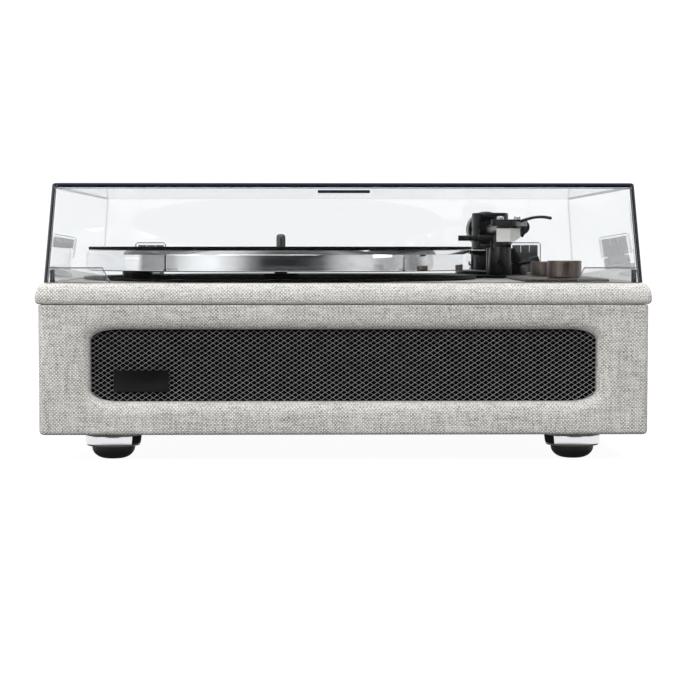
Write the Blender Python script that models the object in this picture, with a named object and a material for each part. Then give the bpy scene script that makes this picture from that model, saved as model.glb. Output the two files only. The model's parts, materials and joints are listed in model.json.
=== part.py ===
"""Record player: fabric-wrapped cabinet, belt-driven platter, tonearm and clear dust cover.

Metres, +Z up. The origin lies on the floor under the middle of the cabinet. +X is the
right-hand side seen from the front and +Y is the back.
"""
from math import acos, asin, atan2, cos, hypot, pi, radians, sin, sqrt, tan

import bmesh
import bpy
from mathutils import Matrix

MM = 0.001

# Fits and mesh fineness, shared by all pieces
SEAT_GAP = 0.3 * MM
CUT_OVERRUN = 1.0 * MM
FUSE_DEPTH = 0.6 * MM
WELD = 0.0005 * MM
RIM_STEPS = 64
ROUND_STEPS = 24
SMALL_STEPS = 16
CORNER_STEPS = 5
SHARP_ANGLE = radians(32)

# Feet: a chrome ring on a dark neck, over a rubber dome
FOOT_HEIGHT = 20.0 * MM
FOOT_SPACING_X = 326.0 * MM
FOOT_SPACING_Y = 270.0 * MM
FOOT_NECK_RADIUS = 17.0 * MM
FOOT_NECK_HEIGHT = 1.7 * MM
FOOT_RING_RADIUS = 20.0 * MM
FOOT_RING_HEIGHT = 8.7 * MM
FOOT_RING_TAPER = 0.4 * MM
FOOT_RING_ROUNDING = 1.6 * MM
FOOT_PAD_RADIUS = 15.2 * MM
FOOT_PAD_FLAT_RADIUS = 5.0 * MM

# Cabinet: a box of board wrapped in cloth
CABINET_WIDTH = 420.0 * MM
CABINET_DEPTH = 350.0 * MM
CABINET_HEIGHT = 90.0 * MM
CABINET_WALL = 12.0 * MM
CABINET_CORNER_RADIUS = 4.0 * MM
CABINET_EDGE_ROUNDING = 2.5 * MM

# Speaker opening in the front wall, with a soft rolled edge
OPENING_WIDTH = 350.0 * MM
OPENING_HEIGHT = 50.0 * MM
OPENING_RISE = 47.7 * MM
OPENING_CORNER_WIDTH = 19.0 * MM
OPENING_CORNER_HEIGHT = 8.0 * MM
OPENING_FLARE = 9.0 * MM
OPENING_FLARE_DEPTH = 6.5 * MM
OPENING_FLARE_STEPS = 4

# Grille, badge plate, baffle and speakers behind the opening
GRILLE_THICKNESS = 1.2 * MM
GRILLE_BEHIND_FLARE = 0.8 * MM
GRILLE_BORDER = 5.0 * MM
GRILLE_COLUMNS = 14
GRILLE_ROWS = 4
GRILLE_STRAND = 3.0 * MM
BADGE_WIDTH = 38.2 * MM
BADGE_HEIGHT = 15.2 * MM
BADGE_THICKNESS = 0.9 * MM
BADGE_CORNER_RADIUS = 1.2 * MM
BADGE_FROM_LEFT = 15.9 * MM
BADGE_FROM_BOTTOM = 5.0 * MM
BAFFLE_THICKNESS = 6.0 * MM
BAFFLE_SIDE_MARGIN = 3.0 * MM
BAFFLE_HEIGHT = 74.0 * MM
SPEAKER_SPACING = 190.0 * MM
SPEAKER_FRAME_RADIUS = 34.0 * MM
SPEAKER_CONE_RADIUS = 28.0 * MM
SPEAKER_SURROUND_WIDTH = 3.0 * MM
SPEAKER_CONE_DEPTH = 11.0 * MM
SPEAKER_CAP_RADIUS = 9.0 * MM
SPEAKER_CAP_RISE = 4.0 * MM
SPEAKER_FRAME_THICKNESS = 2.0 * MM
SPEAKER_BASKET_RADIUS = 17.0 * MM
SPEAKER_BASKET_DEPTH = 20.0 * MM
SPEAKER_MAGNET_RADIUS = 22.0 * MM
SPEAKER_MAGNET_DEPTH = 13.0 * MM

# Lid slab on top of the cabinet, with a bull-nosed edge
LID_OVERHANG = 2.0 * MM
LID_THICKNESS = 14.1 * MM
LID_NOSE_RISE = 3.5 * MM
LID_NOSE_REACH_ABOVE = 5.5 * MM
LID_NOSE_REACH_BELOW = 2.2 * MM
LID_NOSE_STEPS = 8
LID_CORNER_RADIUS = 3.0 * MM

# Black deck plate under the platter and the tonearm
DECK_THICKNESS = 2.0 * MM
DECK_ROUND_RADIUS = 152.0 * MM
DECK_ARM_SIDE_X = 168.0 * MM
DECK_CORNER_RADIUS = 14.0 * MM

# Platter, mat, spindle and bearing
PLATTER_X = -46.7 * MM
PLATTER_Y = -4.0 * MM
PLATTER_RADIUS = 150.0 * MM
PLATTER_THICKNESS = 15.2 * MM
PLATTER_ABOVE_DECK = 5.0 * MM
PLATTER_CHAMFER_HEIGHT = 3.1 * MM
PLATTER_CHAMFER_WIDTH = 1.9 * MM
PLATTER_DISC_THICKNESS = 6.0 * MM
PLATTER_SKIRT_WIDTH = 12.0 * MM
PLATTER_EDGE_BEVEL = 0.6 * MM
PLATTER_HUB_RADIUS = 14.0 * MM
DRIVE_RING_RADIUS = 90.0 * MM
DRIVE_RING_WIDTH = 4.0 * MM
DRIVE_RING_LIFT = 1.5 * MM
MAT_RADIUS = 148.3 * MM
MAT_THICKNESS = 2.3 * MM
MAT_LABEL_RADIUS = 50.0 * MM
MAT_LABEL_RECESS = 0.6 * MM
SPINDLE_RADIUS = 3.575 * MM
SPINDLE_ABOVE_MAT = 9.9 * MM
BEARING_SLEEVE_RADIUS = 8.0 * MM
BEARING_DEPTH = 46.0 * MM
BEARING_FLOOR = 3.0 * MM
BEARING_FLANGE_RADIUS = 14.0 * MM
BEARING_FLANGE_THICKNESS = 1.5 * MM
BEARING_NECK_RADIUS = 5.0 * MM

# Motor, pulley and belt
MOTOR_LEFT_OF_SPINDLE = 107.3 * MM
MOTOR_BEFORE_SPINDLE = 43.0 * MM
MOTOR_WALL_GAP = 5.0 * MM
MOTOR_CAN_RADIUS = 17.0 * MM
MOTOR_CAN_HEIGHT = 26.0 * MM
MOTOR_NECK_RADIUS = 11.35 * MM
PULLEY_RADIUS = 6.0 * MM
PULLEY_FLANGE = 1.3 * MM
PULLEY_FLANGE_THICKNESS = 1.1 * MM
PULLEY_HEAD_ROOM = 0.9 * MM
PULLEY_SHAFT_RADIUS = 1.3 * MM
PULLEY_SHAFT_DEPTH = 16.0 * MM
BELT_WIDTH = 4.0 * MM
BELT_THICKNESS = 0.6 * MM

# Controls at the right front: bronze plate, two knobs and what they turn
CONTROL_FROM_SPINDLE = 206.7 * MM
CONTROL_PLATE_WIDTH = 60.5 * MM
CONTROL_PLATE_THICKNESS = 2.0 * MM
CONTROL_PLATE_MARGIN = 18.0 * MM
CONTROL_PLATE_CORNER = 3.0 * MM
CONTROL_PLATE_CHAMFER = 0.8 * MM
KNOB_RADIUS = 12.4 * MM
VOLUME_KNOB_Y = -110.0 * MM
VOLUME_KNOB_HEIGHT = 12.3 * MM
SELECTOR_KNOB_Y = -10.0 * MM
SELECTOR_KNOB_HEIGHT = 10.8 * MM
KNOB_LIFT = 0.5 * MM
KNOB_EDGE = 0.5 * MM
KNOB_RIM_WIDTH = 1.3 * MM
KNOB_DISH_DEPTH = 0.5 * MM
KNOB_SHAFT_RADIUS = 2.8 * MM
KNOB_SHAFT_LENGTH = 22.0 * MM
POT_CAN_RADIUS = 8.0 * MM
POT_CAN_HEIGHT = 12.0 * MM
POT_FLOOR = 2.0 * MM
POT_WALL_GAP = 3.0 * MM
POT_BUSH_RADIUS = 4.6 * MM

# Terminal panel in the back wall, with its sockets and switch
REAR_OPENING_WIDTH = 140.0 * MM
REAR_OPENING_HEIGHT = 44.0 * MM
REAR_OPENING_CORNER = 5.0 * MM
REAR_PANEL_MARGIN = 6.0 * MM
REAR_PANEL_THICKNESS = 3.0 * MM
JACK_RADIUS = 4.2 * MM
JACK_BORE_RADIUS = 1.7 * MM
JACK_BORE_DEPTH = 8.0 * MM
JACK_REACH = 9.0 * MM
JACK_SPACING = 18.0 * MM
JACK_PAIR_X = 38.0 * MM
JACK_BLOCK_HEIGHT = 16.0 * MM
JACK_BLOCK_DEPTH = 12.0 * MM
JACK_BLOCK_MARGIN = 7.0 * MM
INLET_X = -8.0 * MM
INLET_FLANGE_RADIUS = 7.0 * MM
INLET_FLANGE_THICKNESS = 1.6 * MM
INLET_BODY_RADIUS = 5.4 * MM
INLET_BODY_DEPTH = 14.0 * MM
INLET_BORE_RADIUS = 2.8 * MM
INLET_BORE_DEPTH = 10.0 * MM
SWITCH_X = -45.0 * MM
SWITCH_BODY_WIDTH = 19.0 * MM
SWITCH_BODY_HEIGHT = 13.0 * MM
SWITCH_BODY_DEPTH = 16.0 * MM
SWITCH_FRAME_MARGIN = 1.6 * MM
SWITCH_FRAME_THICKNESS = 2.0 * MM
SWITCH_WALL = 1.8 * MM
ROCKER_RADIUS = 4.4 * MM
ROCKER_TRAVEL = radians(16)

# Amplifier board on the cabinet floor
BOARD_WIDTH = 130.0 * MM
BOARD_DEPTH = 90.0 * MM
BOARD_THICKNESS = 1.6 * MM
BOARD_FROM_BACK_WALL = 38.0 * MM
BOARD_POST_HEIGHT = 9.0 * MM
BOARD_POST_RADIUS = 3.0 * MM
BOARD_POST_INSET = 6.0 * MM
HEATSINK_WIDTH = 50.0 * MM
HEATSINK_DEPTH = 12.0 * MM
HEATSINK_HEIGHT = 22.0 * MM
CAPACITOR_RADIUS = 6.0 * MM
CAPACITOR_HEIGHT = 16.0 * MM
CAPACITOR_SPACING = 30.0 * MM

# Tonearm: pivot column, gimbal, tube, headshell and weights
ARM_X = 127.0 * MM
ARM_Y = 108.0 * MM
ARM_AXIS_ABOVE_LID = 39.6 * MM
ARM_PARK_YAW = radians(1.8)
ARM_EFFECTIVE_LENGTH = 221.0 * MM
ARM_FLANGE_RADIUS = 29.0 * MM
ARM_FLANGE_THICKNESS = 2.5 * MM
ARM_COLUMN_RADIUS = 14.2 * MM
ARM_CAPITAL_RADIUS = 19.5 * MM
ARM_CAPITAL_HEIGHT = 3.7 * MM
ARM_CAPITAL_TAPER = 2.3 * MM
YOKE_RADIUS = 15.3 * MM
YOKE_HEIGHT = 31.0 * MM
YOKE_BELOW_AXIS = 17.3 * MM
YOKE_FLOOR = 5.0 * MM
YOKE_ROOF = 3.6 * MM
YOKE_WINDOW_WIDTH = 19.0 * MM
YOKE_EDGE = 1.2 * MM
YOKE_PIN_RADIUS = 4.0 * MM
YOKE_PIN_LENGTH = 12.0 * MM
GIMBAL_PIN_RADIUS = 1.5 * MM
HUB_RADIUS = 8.4 * MM
HUB_HALF_LENGTH = 10.0 * MM
HUB_SOCKET_DEPTH = 5.5 * MM
STUB_RADIUS = 4.0 * MM
TUBE_RADIUS = 4.75 * MM
TUBE_BORE_RADIUS = 3.9 * MM
FORCE_DIAL_RADIUS = 12.5 * MM
FORCE_DIAL_THICKNESS = 4.0 * MM
FORCE_DIAL_START = 19.0 * MM
WEIGHT_RADIUS = 15.5 * MM
WEIGHT_LENGTH = 19.5 * MM
WEIGHT_EDGE = 1.2 * MM
WEIGHT_BACK = 2.5 * MM
HEADSHELL_OFFSET = radians(-24.0)
HEADSHELL_LENGTH = 50.0 * MM
HEADSHELL_WIDTH = 18.4 * MM
HEADSHELL_NECK_WIDTH = 11.0 * MM
HEADSHELL_THICKNESS = 4.6 * MM
HEADSHELL_ABOVE_AXIS = 0.4 * MM
HEADSHELL_STYLUS_SETBACK = 8.0 * MM
COLLAR_RADIUS = 6.4 * MM
COLLAR_LENGTH = 16.0 * MM
COLLAR_SOCKET_DEPTH = 8.0 * MM
CARTRIDGE_SETBACK = 3.5 * MM
CARTRIDGE_WIDTH = 10.4 * MM
CARTRIDGE_LENGTH = 26.0 * MM
CARTRIDGE_HEIGHT = 9.4 * MM
CARTRIDGE_EAR_WIDTH = 17.0 * MM
CARTRIDGE_EAR_LENGTH = 9.0 * MM
CARTRIDGE_EAR_SETBACK = 9.0 * MM
CARTRIDGE_EAR_THICKNESS = 1.6 * MM
CARTRIDGE_EDGE = 0.5 * MM
STYLUS_HOLDER_WIDTH = 6.0 * MM
STYLUS_HOLDER_LENGTH = 9.0 * MM
STYLUS_HOLDER_HEIGHT = 1.3 * MM
STYLUS_TIP_DROP = 1.0 * MM
STYLUS_TIP_RADIUS = 0.5 * MM
FINGER_LIFT_RADIUS = 0.9 * MM
FINGER_LIFT_SETBACK = 16.0 * MM
FINGER_LIFT_REACH = 22.6 * MM
FINGER_LIFT_RISE = 2.4 * MM

# Cueing lift, arm rest and the small controls round the arm
CUE_ARC_RADIUS = 42.0 * MM
CUE_ARC_WIDTH = 8.0 * MM
CUE_ARC_THICKNESS = 4.4 * MM
CUE_ARC_OUTER_ANGLE = radians(-10.0)
CUE_ARC_INNER_ANGLE = radians(38.0)
CUE_PILLAR_YAW = radians(-2.0)
CUE_UNDER_TUBE = 0.6 * MM
CUE_PILLAR_RADIUS = 5.6 * MM
CUE_PLUNGER_SHOWING = 6.0 * MM
CUE_PLUNGER_RADIUS = 2.0 * MM
CUE_PLUNGER_DEPTH = 14.0 * MM
CUE_BLOCK_WIDTH = 19.6 * MM
CUE_BLOCK_TOP_WIDTH = 13.4 * MM
CUE_BLOCK_DEPTH = 11.0 * MM
CUE_BLOCK_SHOULDER = 10.5 * MM
CUE_AXIS_HEIGHT = 7.0 * MM
CUE_PIN_RADIUS = 1.6 * MM
CUE_LEVER_RADIUS = 1.3 * MM
CUE_LEVER_REACH = 21.5 * MM
CUE_LEVER_RISE = radians(14.0)
CUE_GRIP_RADIUS = 2.9 * MM
CUE_GRIP_LENGTH = 7.0 * MM
CUE_AXIS_FROM_EDGE = 8.1 * MM
REST_FROM_PIVOT = 63.0 * MM
REST_FOOT_RADIUS = 10.0 * MM
REST_TOP_RADIUS = 8.6 * MM
REST_COLUMN_HEIGHT = 22.0 * MM
REST_CRADLE_LENGTH = 7.0 * MM
REST_UNDER_TUBE = 0.8 * MM
REST_POST_WIDTH = 3.2 * MM
REST_POST_ABOVE_AXIS = 6.4 * MM
CLIP_PIN_RADIUS = 1.0 * MM
CLIP_PIN_DEPTH = 4.0 * MM
CLIP_PIN_ABOVE_AXIS = 4.6 * MM
CLIP_ARM_THICKNESS = 1.8 * MM
CLIP_ARM_WIDTH = 2.6 * MM
CLIP_ROUND_TUBE = 0.9 * MM
CLIP_LIP_DROP = 3.0 * MM
CLIP_OPEN_ANGLE = radians(215.0)
ANTI_SKATE_RADIUS = 5.4 * MM
ANTI_SKATE_HEIGHT = 6.0 * MM
ANTI_SKATE_STEM_RADIUS = 2.0 * MM
ANTI_SKATE_STEM_DEPTH = 1.6 * MM
ANTI_SKATE_ANGLE = radians(-25.0)
STOP_BUTTON_X = 149.0 * MM
STOP_BUTTON_Y = 50.0 * MM
STOP_BUTTON_RADIUS = 2.9 * MM
STOP_BUTTON_HEIGHT = 5.7 * MM
STOP_BUTTON_LIFT = 1.5 * MM
STOP_BUTTON_STEM_DEPTH = 0.5 * MM
STOP_BUTTON_STEM_RADIUS = 2.0 * MM

# Clear dust cover and its hinges
COVER_WIDTH = 415.0 * MM
COVER_DEPTH = 330.0 * MM
COVER_HEIGHT = 69.0 * MM
COVER_DRAFT = radians(4.75)
COVER_WALL = 3.0 * MM
COVER_FRONT_Y = -167.0 * MM
COVER_CORNER_RADIUS = 5.0 * MM
COVER_EDGE_ROUNDING = 1.8 * MM
GRIP_WIDTH = 36.0 * MM
GRIP_HEIGHT = 2.1 * MM
GRIP_REACH = 1.6 * MM
GRIP_BELOW_TOP = 5.0 * MM
BUMPER_WIDTH = 3.4 * MM
BUMPER_DEPTH = 4.0 * MM
BUMPER_HEIGHT = 9.0 * MM
BUMPER_CORNER_GAP = 1.0 * MM
HINGE_SPACING = 326.8 * MM
HINGE_AXIS_BEHIND_COVER = 5.4 * MM
HINGE_KNUCKLE_RADIUS = 3.8 * MM
HINGE_PIN_RADIUS = 1.5 * MM
HINGE_BASE_THICKNESS = 1.8 * MM
HINGE_EAR_WIDTH = 3.0 * MM
HINGE_TONGUES = 3
HINGE_TONGUE_WIDTH = 6.8 * MM
HINGE_TONGUE_THICKNESS = 4.4 * MM
HINGE_ROOT_HEIGHT = 9.2 * MM
SOCKET_WIDTH = 26.0 * MM
SOCKET_WALL = 1.8 * MM
SOCKET_ABOVE_KNUCKLE = 1.0 * MM
SOCKET_TOP_ABOVE_LID = 28.5 * MM

# Levels that follow from the sizes above
CABINET_TOP = FOOT_HEIGHT + CABINET_HEIGHT
CABINET_FLOOR = FOOT_HEIGHT + CABINET_WALL
OPENING_Z = FOOT_HEIGHT + OPENING_RISE
FRONT_Y = -CABINET_DEPTH / 2
BACK_Y = CABINET_DEPTH / 2
INSIDE_X = CABINET_WIDTH / 2 - CABINET_WALL
LID_BOTTOM = CABINET_TOP + SEAT_GAP
LID_TOP = LID_BOTTOM + LID_THICKNESS
DECK_BOTTOM = LID_TOP + SEAT_GAP
DECK_TOP = DECK_BOTTOM + DECK_THICKNESS
ON_DECK = DECK_TOP + SEAT_GAP
CONTROL_TOP = DECK_BOTTOM + CONTROL_PLATE_THICKNESS
PLATTER_BOTTOM = DECK_TOP + PLATTER_ABOVE_DECK
PLATTER_TOP = PLATTER_BOTTOM + PLATTER_THICKNESS
PLATTER_DISC_BOTTOM = PLATTER_TOP - PLATTER_DISC_THICKNESS
MAT_BOTTOM = PLATTER_TOP + SEAT_GAP
MAT_TOP = MAT_BOTTOM + MAT_THICKNESS
BEARING_TOP = PLATTER_BOTTOM - SEAT_GAP
MOTOR_REACH = hypot(MOTOR_LEFT_OF_SPINDLE, MOTOR_BEFORE_SPINDLE)
MOTOR_X = max(PLATTER_X - MOTOR_LEFT_OF_SPINDLE, MOTOR_WALL_GAP + MOTOR_CAN_RADIUS - INSIDE_X)
MOTOR_Y = PLATTER_Y - sqrt(MOTOR_REACH**2 - (PLATTER_X - MOTOR_X) ** 2)
CONTROL_X = min(PLATTER_X + CONTROL_FROM_SPINDLE, INSIDE_X - POT_CAN_RADIUS - POT_WALL_GAP)
BOARD_Y = BACK_Y - CABINET_WALL - BOARD_FROM_BACK_WALL - BOARD_DEPTH / 2
BEARING_BOTTOM = DECK_TOP - BEARING_DEPTH
SPINDLE_BORE_RADIUS = SPINDLE_RADIUS + SEAT_GAP
ARM_AXIS_Z = LID_TOP + ARM_AXIS_ABOVE_LID
YOKE_BOTTOM = ARM_AXIS_Z - YOKE_BELOW_AXIS
CONTROL_FRONT_Y = VOLUME_KNOB_Y - CONTROL_PLATE_MARGIN
CONTROL_BACK_Y = SELECTOR_KNOB_Y + CONTROL_PLATE_MARGIN
COVER_BACK_Y = COVER_FRONT_Y + COVER_DEPTH
COVER_BOTTOM = LID_TOP + SEAT_GAP
HINGE_AXIS_Y = COVER_BACK_Y + HINGE_AXIS_BEHIND_COVER
HINGE_AXIS_Z = DECK_BOTTOM + HINGE_BASE_THICKNESS + SEAT_GAP + HINGE_KNUCKLE_RADIUS


def finish(name, colour, roughness, metallic=0.0, alpha=1.0):
    """A Principled material in one piece's colour and finish."""
    material = bpy.data.materials.new(name)
    material.use_nodes = True
    shader = material.node_tree.nodes["Principled BSDF"]
    shader.inputs["Base Color"].default_value = (*colour, 1.0)
    shader.inputs["Roughness"].default_value = roughness
    shader.inputs["Metallic"].default_value = metallic
    shader.inputs["Alpha"].default_value = alpha
    return material


def axis_at(name, location, rotation=(0, 0, 0), parent=None):
    """An empty on a joint's axis, which carries the pieces that turn or slide there."""
    empty = bpy.data.objects.new(name, None)
    bpy.context.scene.collection.objects.link(empty)
    empty.parent = parent
    empty.location = location
    empty.rotation_euler = rotation
    return empty


def place(name, shape, material, location=(0, 0, 0), rotation=(0, 0, 0), parent=None):
    """Turn a bmesh into the named object of one piece."""
    bmesh.ops.recalc_face_normals(shape, faces=shape.faces)
    mesh = bpy.data.meshes.new(name)
    shape.to_mesh(mesh)
    shape.free()
    mesh.materials.append(material)
    mesh.shade_smooth()
    mesh.set_sharp_from_angle(angle=SHARP_ANGLE)
    piece = bpy.data.objects.new(name, mesh)
    bpy.context.scene.collection.objects.link(piece)
    piece.parent = parent
    piece.location = location
    piece.rotation_euler = rotation
    return piece


def combine(piece, shape, operation):
    """Join a second shape to a piece, or cut it away, in the piece's own coordinates."""
    name = f"{piece.name}_{operation.lower()}_{len(piece.modifiers)}"
    helper = place(name, shape, piece.data.materials[0], piece.location, piece.rotation_euler, piece.parent)
    helper.hide_render = True
    helper.display_type = "WIRE"
    modifier = piece.modifiers.new(name, "BOOLEAN")
    modifier.object = helper
    modifier.operation = operation
    modifier.solver = "EXACT"


def fuse(piece, shape):
    combine(piece, shape, "UNION")


def cut(piece, shape):
    combine(piece, shape, "DIFFERENCE")


def moved(shape, offset):
    bmesh.ops.translate(shape, verts=shape.verts, vec=offset)
    return shape


def turned_to(shape, axis):
    """Lay a shape made along +Z down along +X, +Y or -Y."""
    turns = {
        "+X": Matrix.Rotation(pi / 2, 3, "Y"),
        "+Y": Matrix.Rotation(-pi / 2, 3, "X"),
        "-Y": Matrix.Rotation(pi / 2, 3, "X"),
    }
    bmesh.ops.rotate(shape, verts=shape.verts, matrix=turns[axis])
    return shape


def block(low, high, rounding=0.0, steps=2):
    """A box between two corners, with rounded edges if a radius is given."""
    shape = bmesh.new()
    bmesh.ops.create_cube(shape, size=1.0)
    span = [b - a for a, b in zip(low, high)]
    middle = [(a + b) / 2 for a, b in zip(low, high)]
    bmesh.ops.scale(shape, verts=shape.verts, vec=span)
    bmesh.ops.translate(shape, verts=shape.verts, vec=middle)
    if rounding:
        bmesh.ops.bevel(
            shape, geom=shape.edges[:], offset=rounding, segments=steps, profile=0.5, affect="EDGES"
        )
    return shape


def lathe(profile, steps=ROUND_STEPS, closed=False):
    """Turn a profile of (radius, height) points round the Z axis."""
    shape = bmesh.new()
    points = [shape.verts.new((radius, 0, height)) for radius, height in profile]
    edges = [shape.edges.new(pair) for pair in zip(points, points[1:])]
    if closed:
        edges.append(shape.edges.new((points[-1], points[0])))
    bmesh.ops.spin(
        shape, geom=points + edges, cent=(0, 0, 0), axis=(0, 0, 1), angle=2 * pi, steps=steps, use_merge=True
    )
    bmesh.ops.remove_doubles(shape, verts=shape.verts, dist=WELD)
    bmesh.ops.dissolve_degenerate(shape, edges=shape.edges, dist=WELD)
    return shape


def rod(radius, bottom, top, steps=SMALL_STEPS):
    return lathe([(0, top), (radius, top), (radius, bottom), (0, bottom)], steps)


def arc(centre_x, centre_y, radius, start, end, steps):
    """Points on a circle, both ends included."""
    angles = [start + (end - start) * i / steps for i in range(steps + 1)]
    return [(centre_x + radius * cos(a), centre_y + radius * sin(a)) for a in angles]


def rounded_outline(width, height, corner_width, corner_height, steps=CORNER_STEPS):
    """A rectangle about the origin, anticlockwise, whose corners are quarter ellipses."""
    points = []
    for turn, (side_x, side_y) in enumerate(((1, 1), (-1, 1), (-1, -1), (1, -1))):
        x = side_x * (width / 2 - corner_width)
        y = side_y * (height / 2 - corner_height)
        for i in range(steps + 1):
            angle = pi / 2 * (turn + i / steps)
            points.append((x + corner_width * cos(angle), y + corner_height * sin(angle)))
    return points


def plate(outline, bottom, top, holes=()):
    """A flat plate between two heights, with holes through it."""
    shape = bmesh.new()
    edges = []
    for loop in (outline, *holes):
        points = [shape.verts.new((x, y, bottom)) for x, y in loop]
        edges += [shape.edges.new((points[i - 1], points[i])) for i in range(len(points))]
    bmesh.ops.triangle_fill(shape, use_beauty=True, use_dissolve=False, edges=edges)
    grown = bmesh.ops.extrude_face_region(shape, geom=shape.faces[:], use_keep_orig=True)
    top_points = [part for part in grown["geom"] if isinstance(part, bmesh.types.BMVert)]
    bmesh.ops.translate(shape, verts=top_points, vec=(0, 0, top - bottom))
    return shape


def loft(rings):
    """A closed solid through rings of equally many points, capped at both ends."""
    shape = bmesh.new()
    loops = [[shape.verts.new(point) for point in ring] for ring in rings]
    for low, high in zip(loops, loops[1:]):
        for i in range(len(low)):
            shape.faces.new((low[i - 1], low[i], high[i], high[i - 1]))
    shape.faces.new(loops[0])
    shape.faces.new(loops[-1])
    return shape


def clear_scene():
    for old in list(bpy.data.objects):
        bpy.data.objects.remove(old)


def make_finishes():
    """Colours and finishes, one for each kind of surface."""
    return {
        "cloth": finish("woven_cloth", (0.60, 0.58, 0.55), 0.95),
        "lid_cloth": finish("lid_cloth", (0.62, 0.60, 0.57), 0.95),
        "chrome": finish("polished_chrome", (0.80, 0.80, 0.82), 0.12, 1.0),
        "rubber": finish("black_rubber", (0.02, 0.02, 0.02), 0.70),
        "mat": finish("platter_mat_rubber", (0.015, 0.015, 0.015), 0.85),
        "board": finish("black_board", (0.03, 0.03, 0.03), 0.80),
        "grille": finish("black_grille_steel", (0.03, 0.03, 0.035), 0.45, 0.6),
        "badge": finish("badge_black", (0.01, 0.01, 0.01), 0.30),
        "cone": finish("speaker_cone", (0.05, 0.05, 0.05), 0.75),
        "plastic": finish("black_plastic", (0.02, 0.02, 0.02), 0.42),
        "deck": finish("deck_gloss_black", (0.012, 0.012, 0.014), 0.18),
        "platter": finish("brushed_aluminium", (0.72, 0.72, 0.73), 0.28, 1.0),
        "steel": finish("polished_steel", (0.55, 0.55, 0.57), 0.20, 1.0),
        "brass": finish("bearing_brass", (0.65, 0.50, 0.22), 0.30, 1.0),
        "belt": finish("belt_rubber", (0.02, 0.02, 0.02), 0.80),
        "bronze": finish("bronze_anodised", (0.16, 0.12, 0.10), 0.35, 0.9),
        "arm": finish("arm_black", (0.02, 0.02, 0.022), 0.38),
        "tube": finish("arm_tube_grey", (0.30, 0.30, 0.31), 0.35, 0.8),
        "cream": finish("cartridge_cream", (0.78, 0.76, 0.72), 0.45),
        "board_green": finish("circuit_green", (0.02, 0.16, 0.06), 0.55),
        "clear": finish("clear_acrylic", (0.85, 0.88, 0.90), 0.04, 0.0, 0.25),
    }


def make_feet(finishes):
    """Four feet under the corners: a chrome ring held by its neck, and a rubber dome."""
    ring_top = FOOT_HEIGHT - SEAT_GAP - FOOT_NECK_HEIGHT
    ring_bottom = ring_top - FOOT_RING_HEIGHT
    lower_radius = FOOT_RING_RADIUS - FOOT_RING_TAPER
    ring = [
        (0, ring_top + FOOT_NECK_HEIGHT),
        (FOOT_NECK_RADIUS, ring_top + FOOT_NECK_HEIGHT),
        (FOOT_NECK_RADIUS, ring_top),
        (FOOT_RING_RADIUS, ring_top),
        (lower_radius, ring_bottom + FOOT_RING_ROUNDING),
        (lower_radius - FOOT_RING_ROUNDING / 2, ring_bottom + FOOT_RING_ROUNDING / 4),
        (lower_radius - FOOT_RING_ROUNDING, ring_bottom),
        (0, ring_bottom),
    ]
    pad_top = ring_bottom - SEAT_GAP
    pad_rounding = FOOT_PAD_RADIUS - FOOT_PAD_FLAT_RADIUS
    dome = [
        (FOOT_PAD_FLAT_RADIUS + pad_rounding * sin(angle), pad_top * (1 - cos(angle)))
        for angle in (pi / 8 * i for i in range(4, -1, -1))
    ]
    pad = [(0, pad_top), *dome, (0, 0)]
    for depth_name, side_y in (("front", -1), ("rear", 1)):
        for side_name, side_x in (("left", -1), ("right", 1)):
            spot = (side_x * FOOT_SPACING_X / 2, side_y * FOOT_SPACING_Y / 2, 0)
            place(f"foot_ring_{depth_name}_{side_name}", lathe(ring), finishes["chrome"], spot)
            place(f"foot_pad_{depth_name}_{side_name}", lathe(pad), finishes["rubber"], spot)


def opening_ring(grow, y):
    """The speaker opening's outline, grown by a margin, standing at one depth."""
    outline = rounded_outline(
        OPENING_WIDTH + 2 * grow,
        OPENING_HEIGHT + 2 * grow,
        OPENING_CORNER_WIDTH + grow,
        OPENING_CORNER_HEIGHT + grow,
    )
    return [(x, y, OPENING_Z + z) for x, z in outline]


def rear_outline(grow):
    return rounded_outline(
        REAR_OPENING_WIDTH + 2 * grow,
        REAR_OPENING_HEIGHT + 2 * grow,
        REAR_OPENING_CORNER + grow,
        REAR_OPENING_CORNER + grow,
    )


def standing_plate(outline, front, back, height):
    """A plate that stands upright across the Y axis, centred at a height."""
    shape = plate(outline, -back, -front)
    return moved(turned_to(shape, "-Y"), (0, 0, height))


def make_cabinet(finishes):
    """The open-topped box, with the rolled speaker opening in front and the terminal bay behind."""
    soft = CABINET_EDGE_ROUNDING
    levels = [
        (FOOT_HEIGHT, soft),
        (FOOT_HEIGHT + soft * (1 - cos(pi / 4)), soft * (1 - sin(pi / 4))),
        (FOOT_HEIGHT + soft, 0),
        (CABINET_TOP, 0),
    ]
    rings = []
    for height, inset in levels:
        corner = CABINET_CORNER_RADIUS - inset
        outline = rounded_outline(CABINET_WIDTH - 2 * inset, CABINET_DEPTH - 2 * inset, corner, corner)
        rings.append([(x, y, height) for x, y in outline])
    shell = place("cabinet_shell", loft(rings), finishes["cloth"])
    inside_x = CABINET_WIDTH / 2 - CABINET_WALL
    inside_y = CABINET_DEPTH / 2 - CABINET_WALL
    cut(shell, block((-inside_x, -inside_y, CABINET_FLOOR), (inside_x, inside_y, CABINET_TOP + CUT_OVERRUN)))
    flare = [opening_ring(OPENING_FLARE, FRONT_Y - CUT_OVERRUN)]
    for i in range(OPENING_FLARE_STEPS + 1):
        angle = pi / 2 * i / OPENING_FLARE_STEPS
        depth = FRONT_Y + OPENING_FLARE_DEPTH * (1 - cos(angle))
        flare.append(opening_ring(OPENING_FLARE * (1 - sin(angle)), depth))
    flare.append(opening_ring(0, FRONT_Y + CABINET_WALL + CUT_OVERRUN))
    cut(shell, loft(flare))
    bay_front = BACK_Y - CABINET_WALL - CUT_OVERRUN
    cut(shell, standing_plate(rear_outline(0), bay_front, BACK_Y + CUT_OVERRUN, OPENING_Z))


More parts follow.
